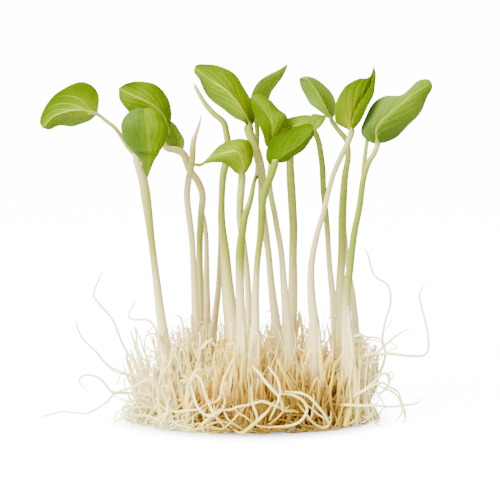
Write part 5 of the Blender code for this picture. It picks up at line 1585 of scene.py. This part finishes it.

# Each kind of root: how its routes are made, its thickness from its start to its end, how it is
# meshed, how much it wobbles, how bright it is (how much paler it is and how far it is kept out of
# the painted golden shade and brown shadow) and how high it reaches
rootSettings = {
    "stray": {"maker": strayRoutes, "thick": (0.46, 0.20), "swell": (0.95, 1.05), "sides": 8, "step": 0.7,
              "wobble": 0.15, "wave": 6.0, "seed": 3, "bright": 0.75},
    "front": {"maker": frontRoutes, "sides": 8, "step": 0.7, "wobble": 0.20, "wave": 7.0, "seed": 5,
              "bright": 0.72},
    "end": {"maker": endRoutes, "sides": 7, "step": 0.7, "wobble": 0.20, "wave": 7.0, "seed": 6,
            "bright": 0.8},
    "noodles": {"maker": edgeRoutes, "course": noodleCourse, "count": 16, "thick": (0.36, 0.24), "sides": 6,
                "step": 0.9, "wobble": 0.9, "wave": 7.0, "seed": 7, "bright": 0.6, "tops": (3.0, 10.0),
                "turns": (0.25, 0.75)},
    "columns": {"maker": riserRoutes, "perStem": 11, "thick": (1.05, 0.34), "sides": 7, "step": 1.3,
                "wobble": 0.25, "wave": 9.0, "seed": 9, "bright": 0.55, "tops": (14.0, 42.0, 25.0),
                "foot": (2.2, 6.0), "beside": (-0.6, -0.1), "curled": 0.03},
    "risers": {"maker": riserRoutes, "perStem": 20, "thick": (0.26, 0.13), "sides": 4, "step": 1.3,
               "wobble": 0.45, "wave": 8.0, "seed": 11, "bright": 0.6, "tops": (9.0, 32.0, 18.0),
               "foot": (2.5, 9.0), "beside": (-0.3, 0.8), "curled": 0.7},
    "uprights": {"maker": uprightRoutes, "count": 600, "thick": (0.80, 0.30), "swell": (0.55, 1.20),
                 "sides": 6, "step": 1.4, "wobble": 0.42, "wave": 9.0, "seed": 13, "bright": 0.15},
    "thinUprights": {"maker": uprightRoutes, "count": 320, "thick": (0.28, 0.12), "swell": (0.55, 1.20),
                     "sides": 4, "step": 1.4, "wobble": 0.75, "wave": 6.5, "seed": 15, "bright": 0.5},
    "arches": {"maker": archRoutes, "count": 100, "thick": (0.30, 0.20), "sides": 5, "step": 1.1,
               "wobble": 0.8, "wave": 6.5, "seed": 14, "bright": 0.45, "tops": (0.45, 1.22),
               "spans": (2.0, 11.0), "bow": 3.0},
    "shoulder": {"maker": edgeRoutes, "course": shoulderCourse, "count": 44, "thick": (0.34, 0.20),
                 "sides": 5, "step": 1.1, "wobble": 1.0, "wave": 7.0, "seed": 17, "bright": 0.5,
                 "tops": (5.0, 13.0), "turns": (0.10, 0.50)},
    "foot": {"maker": edgeRoutes, "course": footCourse, "count": 110, "thick": (0.40, 0.24), "sides": 5,
             "step": 1.1, "wobble": 0.9, "wave": 6.0, "seed": 19, "bright": 0.45, "tops": (1.2, 5.5),
             "turns": (0.15, 0.50)},
    "splayed": {"maker": splayedRoutes, "count": 280, "thick": (0.42, 0.16), "sides": 5, "step": 1.2,
                "wobble": 0.6, "wave": 7.0, "seed": 21, "bright": 0.5, "tops": (6.0, 20.0),
                "atEnds": 0.7, "spread": 0.55, "turn": 0.25, "reach": (0.90, 1.12)},
    "wanderers": {"maker": wandererRoutes, "count": 46, "thick": (0.26, 0.13), "sides": 5, "step": 0.8,
                  "wobble": 0.5, "wave": 6.0, "seed": 23, "bright": 0.85, "tops": (2.0, 20.0),
                  "furthest": 40.0, "rightShare": 0.55, "spread": 0.45, "start": 0.80, "tilt": (-0.6, 1.4),
                  "curl": (0.15, 0.75), "drift": 0.25, "steps": (4, 5, 6), "stepLength": (1.5, 2.8)},
    "hairs": {"maker": hairRoutes, "count": 260, "thick": (0.15, 0.07), "sides": 3, "step": 1.4,
              "wobble": 1.0, "wave": 4.0, "seed": 29, "bright": 0.7, "lengths": (6.0, 14.0)},
}

growHeart(heartSkin, heartSettings)
for part, given in rootSettings.items():
    routes = given["maker"](random.Random(given["seed"]), given)
    growRoots("roots" + part.capitalize(), routeTubes, routes, given, rootSkin)
print("roots grown")
